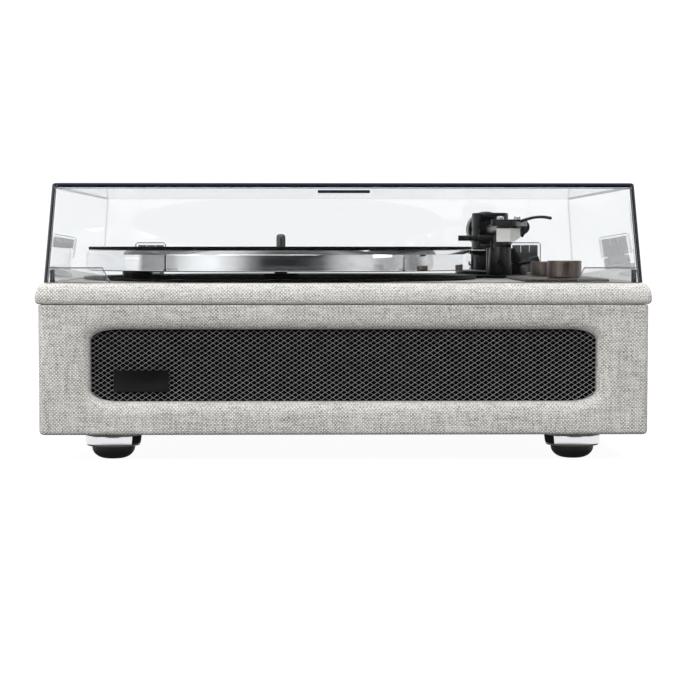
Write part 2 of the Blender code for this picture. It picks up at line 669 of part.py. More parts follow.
def make_lid(finishes):
    """The slab that closes the cabinet, with a bull-nosed edge and holes for what passes through it."""
    rings = []
    for i in range(LID_NOSE_STEPS + 1):
        angle = pi * i / LID_NOSE_STEPS - pi / 2
        above = angle > 0
        inset = (LID_NOSE_REACH_ABOVE if above else LID_NOSE_REACH_BELOW) * (1 - cos(angle))
        width = CABINET_WIDTH + 2 * LID_OVERHANG - 2 * inset
        depth = CABINET_DEPTH + 2 * LID_OVERHANG - 2 * inset
        outline = rounded_outline(width, depth, LID_CORNER_RADIUS, LID_CORNER_RADIUS)
        widest = LID_BOTTOM + LID_NOSE_RISE
        height = widest + (LID_TOP - widest if above else LID_NOSE_RISE) * sin(angle)
        rings.append([(x, y, height) for x, y in outline])
    lid = place("lid_slab", loft(rings), finishes["lid_cloth"])
    holes = [
        (PLATTER_X, PLATTER_Y, BEARING_SLEEVE_RADIUS + SEAT_GAP),
        (MOTOR_X, MOTOR_Y, MOTOR_NECK_RADIUS + SEAT_GAP),
        (CONTROL_X, VOLUME_KNOB_Y, POT_BUSH_RADIUS + SEAT_GAP),
        (CONTROL_X, SELECTOR_KNOB_Y, POT_BUSH_RADIUS + SEAT_GAP),
    ]
    for x, y, radius in holes:
        cut(lid, moved(rod(radius, LID_BOTTOM - CUT_OVERRUN, LID_TOP + CUT_OVERRUN, ROUND_STEPS), (x, y, 0)))


def hole_outline(x, y, radius):
    return arc(x, y, radius, 0, 2 * pi, ROUND_STEPS)[:-1]


def make_deck(finishes):
    """The gloss black plate: round under the platter, with a wing at the right rear for the tonearm."""
    wing_front = CONTROL_BACK_Y + SEAT_GAP
    wing_back = PLATTER_Y + DECK_ROUND_RADIUS
    join_angle = asin((wing_front - PLATTER_Y) / DECK_ROUND_RADIUS)
    corner_x = DECK_ARM_SIDE_X - DECK_CORNER_RADIUS
    outline = arc(PLATTER_X, PLATTER_Y, DECK_ROUND_RADIUS, join_angle, -3 * pi / 2, RIM_STEPS * 3 // 4)
    outline += arc(corner_x, wing_back - DECK_CORNER_RADIUS, DECK_CORNER_RADIUS, pi / 2, 0, CORNER_STEPS)
    outline += arc(corner_x, wing_front + DECK_CORNER_RADIUS, DECK_CORNER_RADIUS, 0, -pi / 2, CORNER_STEPS)
    holes = [
        hole_outline(PLATTER_X, PLATTER_Y, BEARING_SLEEVE_RADIUS + SEAT_GAP),
        hole_outline(MOTOR_X, MOTOR_Y, MOTOR_NECK_RADIUS + SEAT_GAP),
        hole_outline(STOP_BUTTON_X, STOP_BUTTON_Y, STOP_BUTTON_STEM_RADIUS + SEAT_GAP),
    ]
    place("deck_plate", plate(outline, DECK_BOTTOM, DECK_TOP, holes), finishes["deck"])


def make_grille(finishes):
    """Black steel mesh of staggered diamonds, with the bare badge plate on its lower left."""
    front = FRONT_Y + OPENING_FLARE_DEPTH + GRILLE_BEHIND_FLARE
    outline = rounded_outline(
        OPENING_WIDTH - 2 * SEAT_GAP,
        OPENING_HEIGHT - 2 * SEAT_GAP,
        OPENING_CORNER_WIDTH,
        OPENING_CORNER_HEIGHT,
    )
    pitch_x = (OPENING_WIDTH - 2 * OPENING_CORNER_WIDTH) / GRILLE_COLUMNS
    pitch_z = (OPENING_HEIGHT - 2 * GRILLE_BORDER) / GRILLE_ROWS
    half_x = (pitch_x - GRILLE_STRAND) / 2
    half_z = (pitch_z - GRILLE_STRAND * pitch_z / pitch_x) / 2
    diamonds = []
    for row in range(2 * GRILLE_ROWS - 1):
        shifted = row % 2
        columns = GRILLE_COLUMNS - shifted
        z = (row - GRILLE_ROWS + 1) * pitch_z / 2
        for column in range(columns):
            x = (column - (columns - 1) / 2) * pitch_x
            diamonds.append([(x + half_x, z), (x, z + half_z), (x - half_x, z), (x, z - half_z)])
    mesh = plate(outline, -front - GRILLE_THICKNESS, -front, diamonds)
    place("speaker_grille", moved(turned_to(mesh, "-Y"), (0, 0, OPENING_Z)), finishes["grille"])

    badge_front = front - SEAT_GAP - BADGE_THICKNESS
    badge = standing_plate(
        rounded_outline(BADGE_WIDTH, BADGE_HEIGHT, BADGE_CORNER_RADIUS, BADGE_CORNER_RADIUS),
        badge_front,
        front - SEAT_GAP,
        OPENING_Z - OPENING_HEIGHT / 2 + BADGE_FROM_BOTTOM + BADGE_HEIGHT / 2,
    )
    badge_x = -OPENING_WIDTH / 2 + BADGE_FROM_LEFT + BADGE_WIDTH / 2
    place("badge_plate", moved(badge, (badge_x, 0, 0)), finishes["badge"])


def make_speakers(finishes):
    """The baffle board behind the front wall, and two speakers on its back."""
    baffle_front = FRONT_Y + CABINET_WALL + SEAT_GAP
    baffle_back = baffle_front + BAFFLE_THICKNESS
    width = CABINET_WIDTH - 2 * CABINET_WALL - 2 * BAFFLE_SIDE_MARGIN
    outline = rounded_outline(width, BAFFLE_HEIGHT, BAFFLE_SIDE_MARGIN, BAFFLE_SIDE_MARGIN)
    centres = (-SPEAKER_SPACING / 2, SPEAKER_SPACING / 2)
    holes = [hole_outline(x, 0, SPEAKER_CONE_RADIUS + SEAT_GAP) for x in centres]
    board = plate(outline, -baffle_back, -baffle_front, holes)
    baffle_z = CABINET_FLOOR + SEAT_GAP + BAFFLE_HEIGHT / 2
    place("speaker_baffle", moved(turned_to(board, "-Y"), (0, 0, baffle_z)), finishes["board"])

    cone = SPEAKER_CONE_RADIUS
    edge = cone - SPEAKER_SURROUND_WIDTH
    basket_back = SPEAKER_FRAME_THICKNESS + SPEAKER_BASKET_DEPTH
    profile = [
        (0, SPEAKER_CONE_DEPTH - SPEAKER_CAP_RISE),
        (SPEAKER_CAP_RADIUS * cos(pi / 4), SPEAKER_CONE_DEPTH - SPEAKER_CAP_RISE * sin(pi / 4)),
        (SPEAKER_CAP_RADIUS, SPEAKER_CONE_DEPTH),
        (edge, SPEAKER_FRAME_THICKNESS),
        ((cone + edge) / 2, SEAT_GAP),
        (cone, SPEAKER_FRAME_THICKNESS / 2),
        (cone, 0),
        (SPEAKER_FRAME_RADIUS, 0),
        (SPEAKER_FRAME_RADIUS, SPEAKER_FRAME_THICKNESS),
        (cone, SPEAKER_FRAME_THICKNESS + SEAT_GAP),
        (SPEAKER_BASKET_RADIUS, basket_back),
        (SPEAKER_MAGNET_RADIUS, basket_back),
        (SPEAKER_MAGNET_RADIUS, basket_back + SPEAKER_MAGNET_DEPTH),
        (0, basket_back + SPEAKER_MAGNET_DEPTH),
    ]
    for name, x in zip(("speaker_left", "speaker_right"), centres):
        driver = turned_to(lathe(profile), "+Y")
        place(name, driver, finishes["cone"], (x, baffle_back + SEAT_GAP, baffle_z))


def make_bearing_and_platter(finishes):
    """The bearing stands in the lid; spindle, platter and mat turn together on its axis."""
    sleeve = BEARING_SLEEVE_RADIUS
    bore = SPINDLE_BORE_RADIUS
    flange_top = ON_DECK + BEARING_FLANGE_THICKNESS
    housing = [
        (bore, BEARING_TOP),
        (BEARING_NECK_RADIUS, BEARING_TOP),
        (BEARING_NECK_RADIUS, flange_top),
        (BEARING_FLANGE_RADIUS, flange_top),
        (BEARING_FLANGE_RADIUS, ON_DECK),
        (sleeve, ON_DECK),
        (sleeve, BEARING_BOTTOM),
        (0, BEARING_BOTTOM),
        (0, BEARING_BOTTOM + BEARING_FLOOR),
        (bore, BEARING_BOTTOM + BEARING_FLOOR),
    ]
    axis = (PLATTER_X, PLATTER_Y, 0)
    place("bearing_housing", lathe(housing, closed=True), finishes["brass"], axis)

    platter_axis = axis_at("platter_axis", axis)
    tip = MAT_TOP + SPINDLE_ABOVE_MAT
    foot = BEARING_BOTTOM + BEARING_FLOOR + SEAT_GAP
    nose_angles = (pi / 2, pi / 3, pi / 6, 0)
    nose = [(SPINDLE_RADIUS * cos(a), tip - SPINDLE_RADIUS * (1 - sin(a))) for a in nose_angles]
    spindle = [(0, tip), *nose[1:], (SPINDLE_RADIUS, foot), (0, foot)]
    place("spindle", lathe(spindle, SMALL_STEPS), finishes["steel"], parent=platter_axis)

    rim = PLATTER_RADIUS
    chamfer_bottom = PLATTER_TOP - PLATTER_CHAMFER_HEIGHT
    ring_bottom = PLATTER_BOTTOM + DRIVE_RING_LIFT
    platter = [
        (bore, PLATTER_TOP),
        (rim - PLATTER_CHAMFER_WIDTH, PLATTER_TOP),
        (rim, chamfer_bottom),
        (rim, PLATTER_BOTTOM + PLATTER_EDGE_BEVEL),
        (rim - PLATTER_EDGE_BEVEL, PLATTER_BOTTOM),
        (rim - PLATTER_SKIRT_WIDTH, PLATTER_BOTTOM),
        (rim - PLATTER_SKIRT_WIDTH, PLATTER_DISC_BOTTOM),
        (DRIVE_RING_RADIUS, PLATTER_DISC_BOTTOM),
        (DRIVE_RING_RADIUS, ring_bottom),
        (DRIVE_RING_RADIUS - DRIVE_RING_WIDTH, ring_bottom),
        (DRIVE_RING_RADIUS - DRIVE_RING_WIDTH, PLATTER_DISC_BOTTOM),
        (PLATTER_HUB_RADIUS, PLATTER_DISC_BOTTOM),
        (PLATTER_HUB_RADIUS, PLATTER_BOTTOM),
        (bore, PLATTER_BOTTOM),
    ]
    place("platter", lathe(platter, RIM_STEPS, closed=True), finishes["platter"], parent=platter_axis)

    label_floor = MAT_TOP - MAT_LABEL_RECESS
    mat = [
        (bore, label_floor),
        (MAT_LABEL_RADIUS, label_floor),
        (MAT_LABEL_RADIUS + MAT_LABEL_RECESS, MAT_TOP),
        (MAT_RADIUS, MAT_TOP),
        (MAT_RADIUS, MAT_BOTTOM),
        (bore, MAT_BOTTOM),
    ]
    place("platter_mat", lathe(mat, RIM_STEPS, closed=True), finishes["mat"], parent=platter_axis)


def belt_outline(offset):
    """The belt's path round the drive ring and the pulley, at a distance outside both."""
    ring = DRIVE_RING_RADIUS + offset
    wheel = PULLEY_RADIUS + offset
    run_x = MOTOR_X - PLATTER_X
    run_y = MOTOR_Y - PLATTER_Y
    heading = atan2(run_y, run_x)
    lean = acos((ring - wheel) / hypot(run_x, run_y))
    outline = arc(PLATTER_X, PLATTER_Y, ring, heading + lean, heading - lean + 2 * pi, RIM_STEPS * 2 // 3)
    outline += arc(MOTOR_X, MOTOR_Y, wheel, heading - lean, heading + lean, SMALL_STEPS // 2)
    return outline


def make_drive(finishes):
    """Motor under the lid, pulley inside the platter's rim, and the flat belt round the drive ring."""
    motor_top = LID_BOTTOM - SEAT_GAP
    neck_top = PLATTER_BOTTOM - 2 * SEAT_GAP
    shaft_bore = PULLEY_SHAFT_RADIUS + SEAT_GAP
    shaft_foot = neck_top - PULLEY_SHAFT_DEPTH
    motor = [
        (shaft_bore, neck_top),
        (MOTOR_NECK_RADIUS, neck_top),
        (MOTOR_NECK_RADIUS, motor_top),
        (MOTOR_CAN_RADIUS, motor_top),
        (MOTOR_CAN_RADIUS, motor_top - MOTOR_CAN_HEIGHT),
        (0, motor_top - MOTOR_CAN_HEIGHT),
        (0, shaft_foot - SEAT_GAP),
        (shaft_bore, shaft_foot - SEAT_GAP),
    ]
    spot = (MOTOR_X, MOTOR_Y, 0)
    place("motor", lathe(motor, closed=True), finishes["plastic"], spot)

    pulley_axis = axis_at("pulley_axis", spot)
    bottom = neck_top + SEAT_GAP
    top = PLATTER_DISC_BOTTOM - PULLEY_HEAD_ROOM
    flange = PULLEY_RADIUS + PULLEY_FLANGE
    pulley = [
        (0, top),
        (flange, top),
        (flange, top - PULLEY_FLANGE_THICKNESS),
        (PULLEY_RADIUS, top - PULLEY_FLANGE_THICKNESS),
        (PULLEY_RADIUS, bottom + PULLEY_FLANGE_THICKNESS),
        (flange, bottom + PULLEY_FLANGE_THICKNESS),
        (flange, bottom),
        (PULLEY_SHAFT_RADIUS, bottom),
        (PULLEY_SHAFT_RADIUS, shaft_foot),
        (0, shaft_foot),
    ]
    place("motor_pulley", lathe(pulley, SMALL_STEPS), finishes["brass"], parent=pulley_axis)

    middle = (bottom + top) / 2
    belt = plate(
        belt_outline(SEAT_GAP + BELT_THICKNESS), middle - BELT_WIDTH / 2, middle + BELT_WIDTH / 2,
        [belt_outline(SEAT_GAP)],
    )
    place("drive_belt", belt, finishes["belt"])


def knob_profile(height):
    """A turned knob with a rim round a shallow dish on top and its shaft below."""
    radius = KNOB_RADIUS
    return [
        (0, height - KNOB_DISH_DEPTH),
        (radius - KNOB_EDGE - KNOB_RIM_WIDTH, height - KNOB_DISH_DEPTH),
        (radius - KNOB_EDGE - KNOB_RIM_WIDTH, height),
        (radius - KNOB_EDGE, height),
        (radius, height - KNOB_EDGE),
        (radius, KNOB_EDGE),
        (radius - KNOB_EDGE, 0),
        (KNOB_SHAFT_RADIUS, 0),
        (KNOB_SHAFT_RADIUS, -KNOB_SHAFT_LENGTH),
        (0, -KNOB_SHAFT_LENGTH),
    ]


def make_controls(finishes):
    """The bronze plate with two knobs, each turning in a bush of the control under the lid."""
    width = CONTROL_PLATE_WIDTH
    length = CONTROL_BACK_Y - CONTROL_FRONT_Y
    chamfer = CONTROL_PLATE_CHAMFER
    outline = rounded_outline(width, length, CONTROL_PLATE_CORNER, CONTROL_PLATE_CORNER)
    inner = rounded_outline(
        width - 2 * chamfer,
        length - 2 * chamfer,
        CONTROL_PLATE_CORNER - chamfer,
        CONTROL_PLATE_CORNER - chamfer,
    )
    middle_y = (CONTROL_FRONT_Y + CONTROL_BACK_Y) / 2
    levels = [(outline, DECK_BOTTOM), (outline, CONTROL_TOP - chamfer), (inner, CONTROL_TOP)]
    rings = [[(CONTROL_X + x, middle_y + y, height) for x, y in ring] for ring, height in levels]
    control_plate = place("control_plate", loft(rings), finishes["bronze"])

    bore = KNOB_SHAFT_RADIUS + SEAT_GAP
    knob_bottom = CONTROL_TOP + KNOB_LIFT
    shaft_foot = knob_bottom - KNOB_SHAFT_LENGTH
    can_top = LID_BOTTOM - SEAT_GAP
    can_bottom = min(can_top - POT_CAN_HEIGHT, shaft_foot - SEAT_GAP - POT_FLOOR)
    bush_top = knob_bottom - SEAT_GAP
    pot = [
        (bore, bush_top),
        (POT_BUSH_RADIUS, bush_top),
        (POT_BUSH_RADIUS, can_top),
        (POT_CAN_RADIUS, can_top),
        (POT_CAN_RADIUS, can_bottom),
        (0, can_bottom),
        (0, shaft_foot - SEAT_GAP),
        (bore, shaft_foot - SEAT_GAP),
    ]
    hole = POT_BUSH_RADIUS + SEAT_GAP
    controls = (
        ("volume", VOLUME_KNOB_Y, VOLUME_KNOB_HEIGHT),
        ("selector", SELECTOR_KNOB_Y, SELECTOR_KNOB_HEIGHT),
    )
    for name, y, height in controls:
        drill = rod(hole, DECK_BOTTOM - CUT_OVERRUN, CONTROL_TOP + CUT_OVERRUN)
        cut(control_plate, moved(drill, (CONTROL_X, y, 0)))
        place(f"{name}_control", lathe(pot, closed=True), finishes["steel"], (CONTROL_X, y, 0))
        knob_axis = axis_at(f"{name}_axis", (CONTROL_X, y, knob_bottom))
        place(f"{name}_knob", lathe(knob_profile(height)), finishes["bronze"], parent=knob_axis)


def make_rear_panel(finishes):
    """The terminal panel behind the back wall: two signal sockets, a power inlet and a rocker switch."""
    panel_back = BACK_Y - CABINET_WALL - SEAT_GAP
    panel_front = panel_back - REAR_PANEL_THICKNESS
    jack_x = [JACK_PAIR_X + side * JACK_SPACING / 2 for side in (-1, 1)]
    body_half_x = SWITCH_BODY_WIDTH / 2
    body_half_z = SWITCH_BODY_HEIGHT / 2
    switch_hole = [
        (SWITCH_X + sx * (body_half_x + SEAT_GAP), sz * (body_half_z + SEAT_GAP))
        for sx, sz in ((1, 1), (-1, 1), (-1, -1), (1, -1))
    ]
    holes = [hole_outline(x, 0, JACK_RADIUS + SEAT_GAP) for x in jack_x]
    holes += [hole_outline(INLET_X, 0, INLET_BODY_RADIUS + SEAT_GAP), switch_hole]
    panel = plate(rear_outline(REAR_PANEL_MARGIN), -panel_back, -panel_front, holes)
    place("rear_panel", moved(turned_to(panel, "-Y"), (0, 0, OPENING_Z)), finishes["plastic"])

    reach = panel_back + JACK_REACH
    half_block = JACK_SPACING / 2 + JACK_BLOCK_MARGIN
    block_back = panel_front - SEAT_GAP
    jack = place(
        "signal_sockets",
        block(
            (JACK_PAIR_X - half_block, block_back - JACK_BLOCK_DEPTH, OPENING_Z - JACK_BLOCK_HEIGHT / 2),
            (JACK_PAIR_X + half_block, block_back, OPENING_Z + JACK_BLOCK_HEIGHT / 2),
        ),
        finishes["brass"],
    )
    for x in jack_x:
        barrel = [
            (0, reach - JACK_BORE_DEPTH),
            (JACK_BORE_RADIUS, reach - JACK_BORE_DEPTH),
            (JACK_BORE_RADIUS, reach),
            (JACK_RADIUS, reach),
            (JACK_RADIUS, block_back - FUSE_DEPTH),
            (0, block_back - FUSE_DEPTH),
        ]
        fuse(jack, moved(turned_to(lathe(barrel, SMALL_STEPS), "+Y"), (x, 0, OPENING_Z)))

    mouth = panel_back + SEAT_GAP + INLET_FLANGE_THICKNESS
    inlet = [
        (0, mouth - INLET_BORE_DEPTH),
        (INLET_BORE_RADIUS, mouth - INLET_BORE_DEPTH),
        (INLET_BORE_RADIUS, mouth),
        (INLET_FLANGE_RADIUS, mouth),
        (INLET_FLANGE_RADIUS, panel_back + SEAT_GAP),
        (INLET_BODY_RADIUS, panel_back + SEAT_GAP),
        (INLET_BODY_RADIUS, mouth - INLET_BODY_DEPTH),
        (0, mouth - INLET_BODY_DEPTH),
    ]
    place("power_inlet", turned_to(lathe(inlet), "+Y"), finishes["plastic"], (INLET_X, 0, OPENING_Z))

    frame_front = panel_back + SEAT_GAP
    frame_back = frame_front + SWITCH_FRAME_THICKNESS
    frame_x = body_half_x + SWITCH_FRAME_MARGIN
    frame_z = body_half_z + SWITCH_FRAME_MARGIN
    housing = place(
        "power_switch",
        block((-frame_x, frame_front, -frame_z), (frame_x, frame_back, frame_z)),
        finishes["plastic"],
        (SWITCH_X, 0, OPENING_Z),
    )
    fuse(
        housing,
        block(
            (-body_half_x, frame_back - SWITCH_BODY_DEPTH, -body_half_z),
            (body_half_x, frame_front + FUSE_DEPTH, body_half_z),
        ),
    )
    pocket_x = body_half_x - SWITCH_WALL
    pocket_z = body_half_z - SWITCH_WALL
    rocker_radius = min(ROCKER_RADIUS, pocket_z - SEAT_GAP)
    pocket_floor = frame_back - rocker_radius - SEAT_GAP
    pocket_back = frame_back + CUT_OVERRUN
    cut(housing, block((-pocket_x, pocket_floor, -pocket_z), (pocket_x, pocket_back, pocket_z)))
    face = arc(0, 0, rocker_radius, pi, 2 * pi + ROCKER_TRAVEL, SMALL_STEPS) + [(0, 0)]
    rocker = turned_to(plate(face, -(pocket_x - SEAT_GAP), pocket_x - SEAT_GAP), "+X")
    rocker_axis = axis_at("rocker_axis", (SWITCH_X, frame_back, OPENING_Z))
    place("power_rocker", rocker, finishes["rubber"], parent=rocker_axis)


def make_board(finishes):
    """The amplifier board on four posts, with its heat sink and two capacitors."""
    bottom = CABINET_FLOOR + SEAT_GAP + BOARD_POST_HEIGHT
    top = bottom + BOARD_THICKNESS
    board = place(
        "amplifier_board",
        block((-BOARD_WIDTH / 2, -BOARD_DEPTH / 2, bottom), (BOARD_WIDTH / 2, BOARD_DEPTH / 2, top)),
        finishes["board_green"],
        (0, BOARD_Y, 0),
    )
    post_x = BOARD_WIDTH / 2 - BOARD_POST_INSET
    post_y = BOARD_DEPTH / 2 - BOARD_POST_INSET
    for x, y in ((post_x, post_y), (-post_x, post_y), (-post_x, -post_y), (post_x, -post_y)):
        post = rod(BOARD_POST_RADIUS, CABINET_FLOOR + SEAT_GAP, bottom + FUSE_DEPTH)
        fuse(board, moved(post, (x, y, 0)))
    sink = block(
        (-HEATSINK_WIDTH / 2, -HEATSINK_DEPTH / 2, top - FUSE_DEPTH),
        (HEATSINK_WIDTH / 2, HEATSINK_DEPTH / 2, top + HEATSINK_HEIGHT),
    )
    fuse(board, sink)
    for side in (-1, 1):
        can = rod(CAPACITOR_RADIUS, top - FUSE_DEPTH, top + CAPACITOR_HEIGHT)
        fuse(board, moved(can, (side * CAPACITOR_SPACING, -CAPACITOR_SPACING, 0)))


def make_arm_base(finishes):
    """The arm's foot on the deck: a flange, a tapered column with the yoke's bearing, and the dial."""
    bore = YOKE_PIN_RADIUS + SEAT_GAP
    column_top = YOKE_BOTTOM - SEAT_GAP
    flange_top = ON_DECK + ARM_FLANGE_THICKNESS
    bore_floor = YOKE_BOTTOM - YOKE_PIN_LENGTH - SEAT_GAP
    profile = [
        (bore, column_top),
        (ARM_CAPITAL_RADIUS, column_top),
        (ARM_CAPITAL_RADIUS, column_top - ARM_CAPITAL_HEIGHT + ARM_CAPITAL_TAPER),
        (ARM_COLUMN_RADIUS, column_top - ARM_CAPITAL_HEIGHT),
        (ARM_COLUMN_RADIUS, flange_top),
        (ARM_FLANGE_RADIUS, flange_top),
        (ARM_FLANGE_RADIUS, ON_DECK),
        (0, ON_DECK),
        (0, bore_floor),
        (bore, bore_floor),
    ]
    base = place("arm_base", lathe(profile, closed=True), finishes["arm"], (ARM_X, ARM_Y, 0))
    ring = (ARM_FLANGE_RADIUS + ARM_COLUMN_RADIUS) / 2
    dial_x = ring * cos(ANTI_SKATE_ANGLE)
    dial_y = ring * sin(ANTI_SKATE_ANGLE)
    hole_floor = flange_top - ANTI_SKATE_STEM_DEPTH - SEAT_GAP
    hole = rod(ANTI_SKATE_STEM_RADIUS + SEAT_GAP, hole_floor, flange_top + CUT_OVERRUN)
    cut(base, moved(hole, (dial_x, dial_y, 0)))

    dial_bottom = flange_top + SEAT_GAP
    dial = [
        (0, ANTI_SKATE_HEIGHT),
        (ANTI_SKATE_RADIUS - KNOB_EDGE, ANTI_SKATE_HEIGHT),
        (ANTI_SKATE_RADIUS, ANTI_SKATE_HEIGHT - KNOB_EDGE),
        (ANTI_SKATE_RADIUS, 0),
        (ANTI_SKATE_STEM_RADIUS, 0),
        (ANTI_SKATE_STEM_RADIUS, -ANTI_SKATE_STEM_DEPTH),
        (0, -ANTI_SKATE_STEM_DEPTH),
    ]
    dial_axis = axis_at("anti_skate_axis", (ARM_X + dial_x, ARM_Y + dial_y, dial_bottom))
    place("anti_skate_dial", lathe(dial, SMALL_STEPS), finishes["arm"], parent=dial_axis)


def make_arm(finishes):
    """Everything that swings about the arm's pivot, in a frame whose -Y runs along the parked tube."""
    arm_axis = axis_at("arm_axis", (ARM_X, ARM_Y, ARM_AXIS_Z), (0, 0, ARM_PARK_YAW))
    yoke_bottom = -YOKE_BELOW_AXIS
    yoke_top = yoke_bottom + YOKE_HEIGHT
    yoke = [
        (0, yoke_top),
        (YOKE_RADIUS - YOKE_EDGE, yoke_top),
        (YOKE_RADIUS, yoke_top - YOKE_EDGE),
        (YOKE_RADIUS, yoke_bottom + YOKE_EDGE),
        (YOKE_RADIUS - YOKE_EDGE, yoke_bottom),
        (YOKE_PIN_RADIUS, yoke_bottom),
        (YOKE_PIN_RADIUS, yoke_bottom - YOKE_PIN_LENGTH),
        (0, yoke_bottom - YOKE_PIN_LENGTH),
    ]
    yoke = place("arm_yoke", lathe(yoke), finishes["arm"], parent=arm_axis)
    reach = YOKE_RADIUS + CUT_OVERRUN
    half_window = YOKE_WINDOW_WIDTH / 2
    window_floor = yoke_bottom + YOKE_FLOOR
    window = block((-half_window, -reach, window_floor), (half_window, reach, yoke_top - YOKE_ROOF))
    cut(yoke, window)
    cut(yoke, turned_to(rod(GIMBAL_PIN_RADIUS + SEAT_GAP, -reach, reach), "+X"))
    half_pin = YOKE_RADIUS - YOKE_EDGE
    pin = turned_to(rod(GIMBAL_PIN_RADIUS, -half_pin, half_pin), "+X")
    place("gimbal_pin", pin, finishes["steel"], parent=arm_axis)

    weight_start = FORCE_DIAL_START + FORCE_DIAL_THICKNESS + SEAT_GAP
    weight_end = weight_start + WEIGHT_LENGTH
    bore_end = weight_end - WEIGHT_BACK
    socket_floor = HUB_SOCKET_DEPTH - HUB_HALF_LENGTH
    hub = [
        (0, bore_end - SEAT_GAP),
        (STUB_RADIUS, bore_end - SEAT_GAP),
        (STUB_RADIUS, HUB_HALF_LENGTH),
        (HUB_RADIUS, HUB_HALF_LENGTH),
        (HUB_RADIUS, -HUB_HALF_LENGTH),
        (TUBE_RADIUS + SEAT_GAP, -HUB_HALF_LENGTH),
        (TUBE_RADIUS + SEAT_GAP, socket_floor),
        (0, socket_floor),
    ]
    hub = place("gimbal_hub", turned_to(lathe(hub), "+Y"), finishes["arm"], parent=arm_axis)
    cut(hub, turned_to(rod(GIMBAL_PIN_RADIUS + SEAT_GAP, -reach, reach), "+X"))

    bore = STUB_RADIUS + SEAT_GAP
    dial_end = FORCE_DIAL_START + FORCE_DIAL_THICKNESS
    dial = [
        (bore, dial_end),
        (FORCE_DIAL_RADIUS, dial_end),
        (FORCE_DIAL_RADIUS, FORCE_DIAL_START + KNOB_EDGE),
        (FORCE_DIAL_RADIUS - KNOB_EDGE, FORCE_DIAL_START),
        (bore, FORCE_DIAL_START),
    ]
    place("force_dial", turned_to(lathe(dial, closed=True), "+Y"), finishes["arm"], parent=arm_axis)
    weight = [
        (0, weight_end),
        (WEIGHT_RADIUS - WEIGHT_EDGE, weight_end),
        (WEIGHT_RADIUS, weight_end - WEIGHT_EDGE),
        (WEIGHT_RADIUS, weight_start + WEIGHT_EDGE),
        (WEIGHT_RADIUS - WEIGHT_EDGE, weight_start),
        (bore, weight_start),
        (bore, bore_end),
        (0, bore_end),
    ]
    place("counterweight", turned_to(lathe(weight), "+Y"), finishes["arm"], parent=arm_axis)
    make_headshell(finishes, arm_axis, socket_floor)


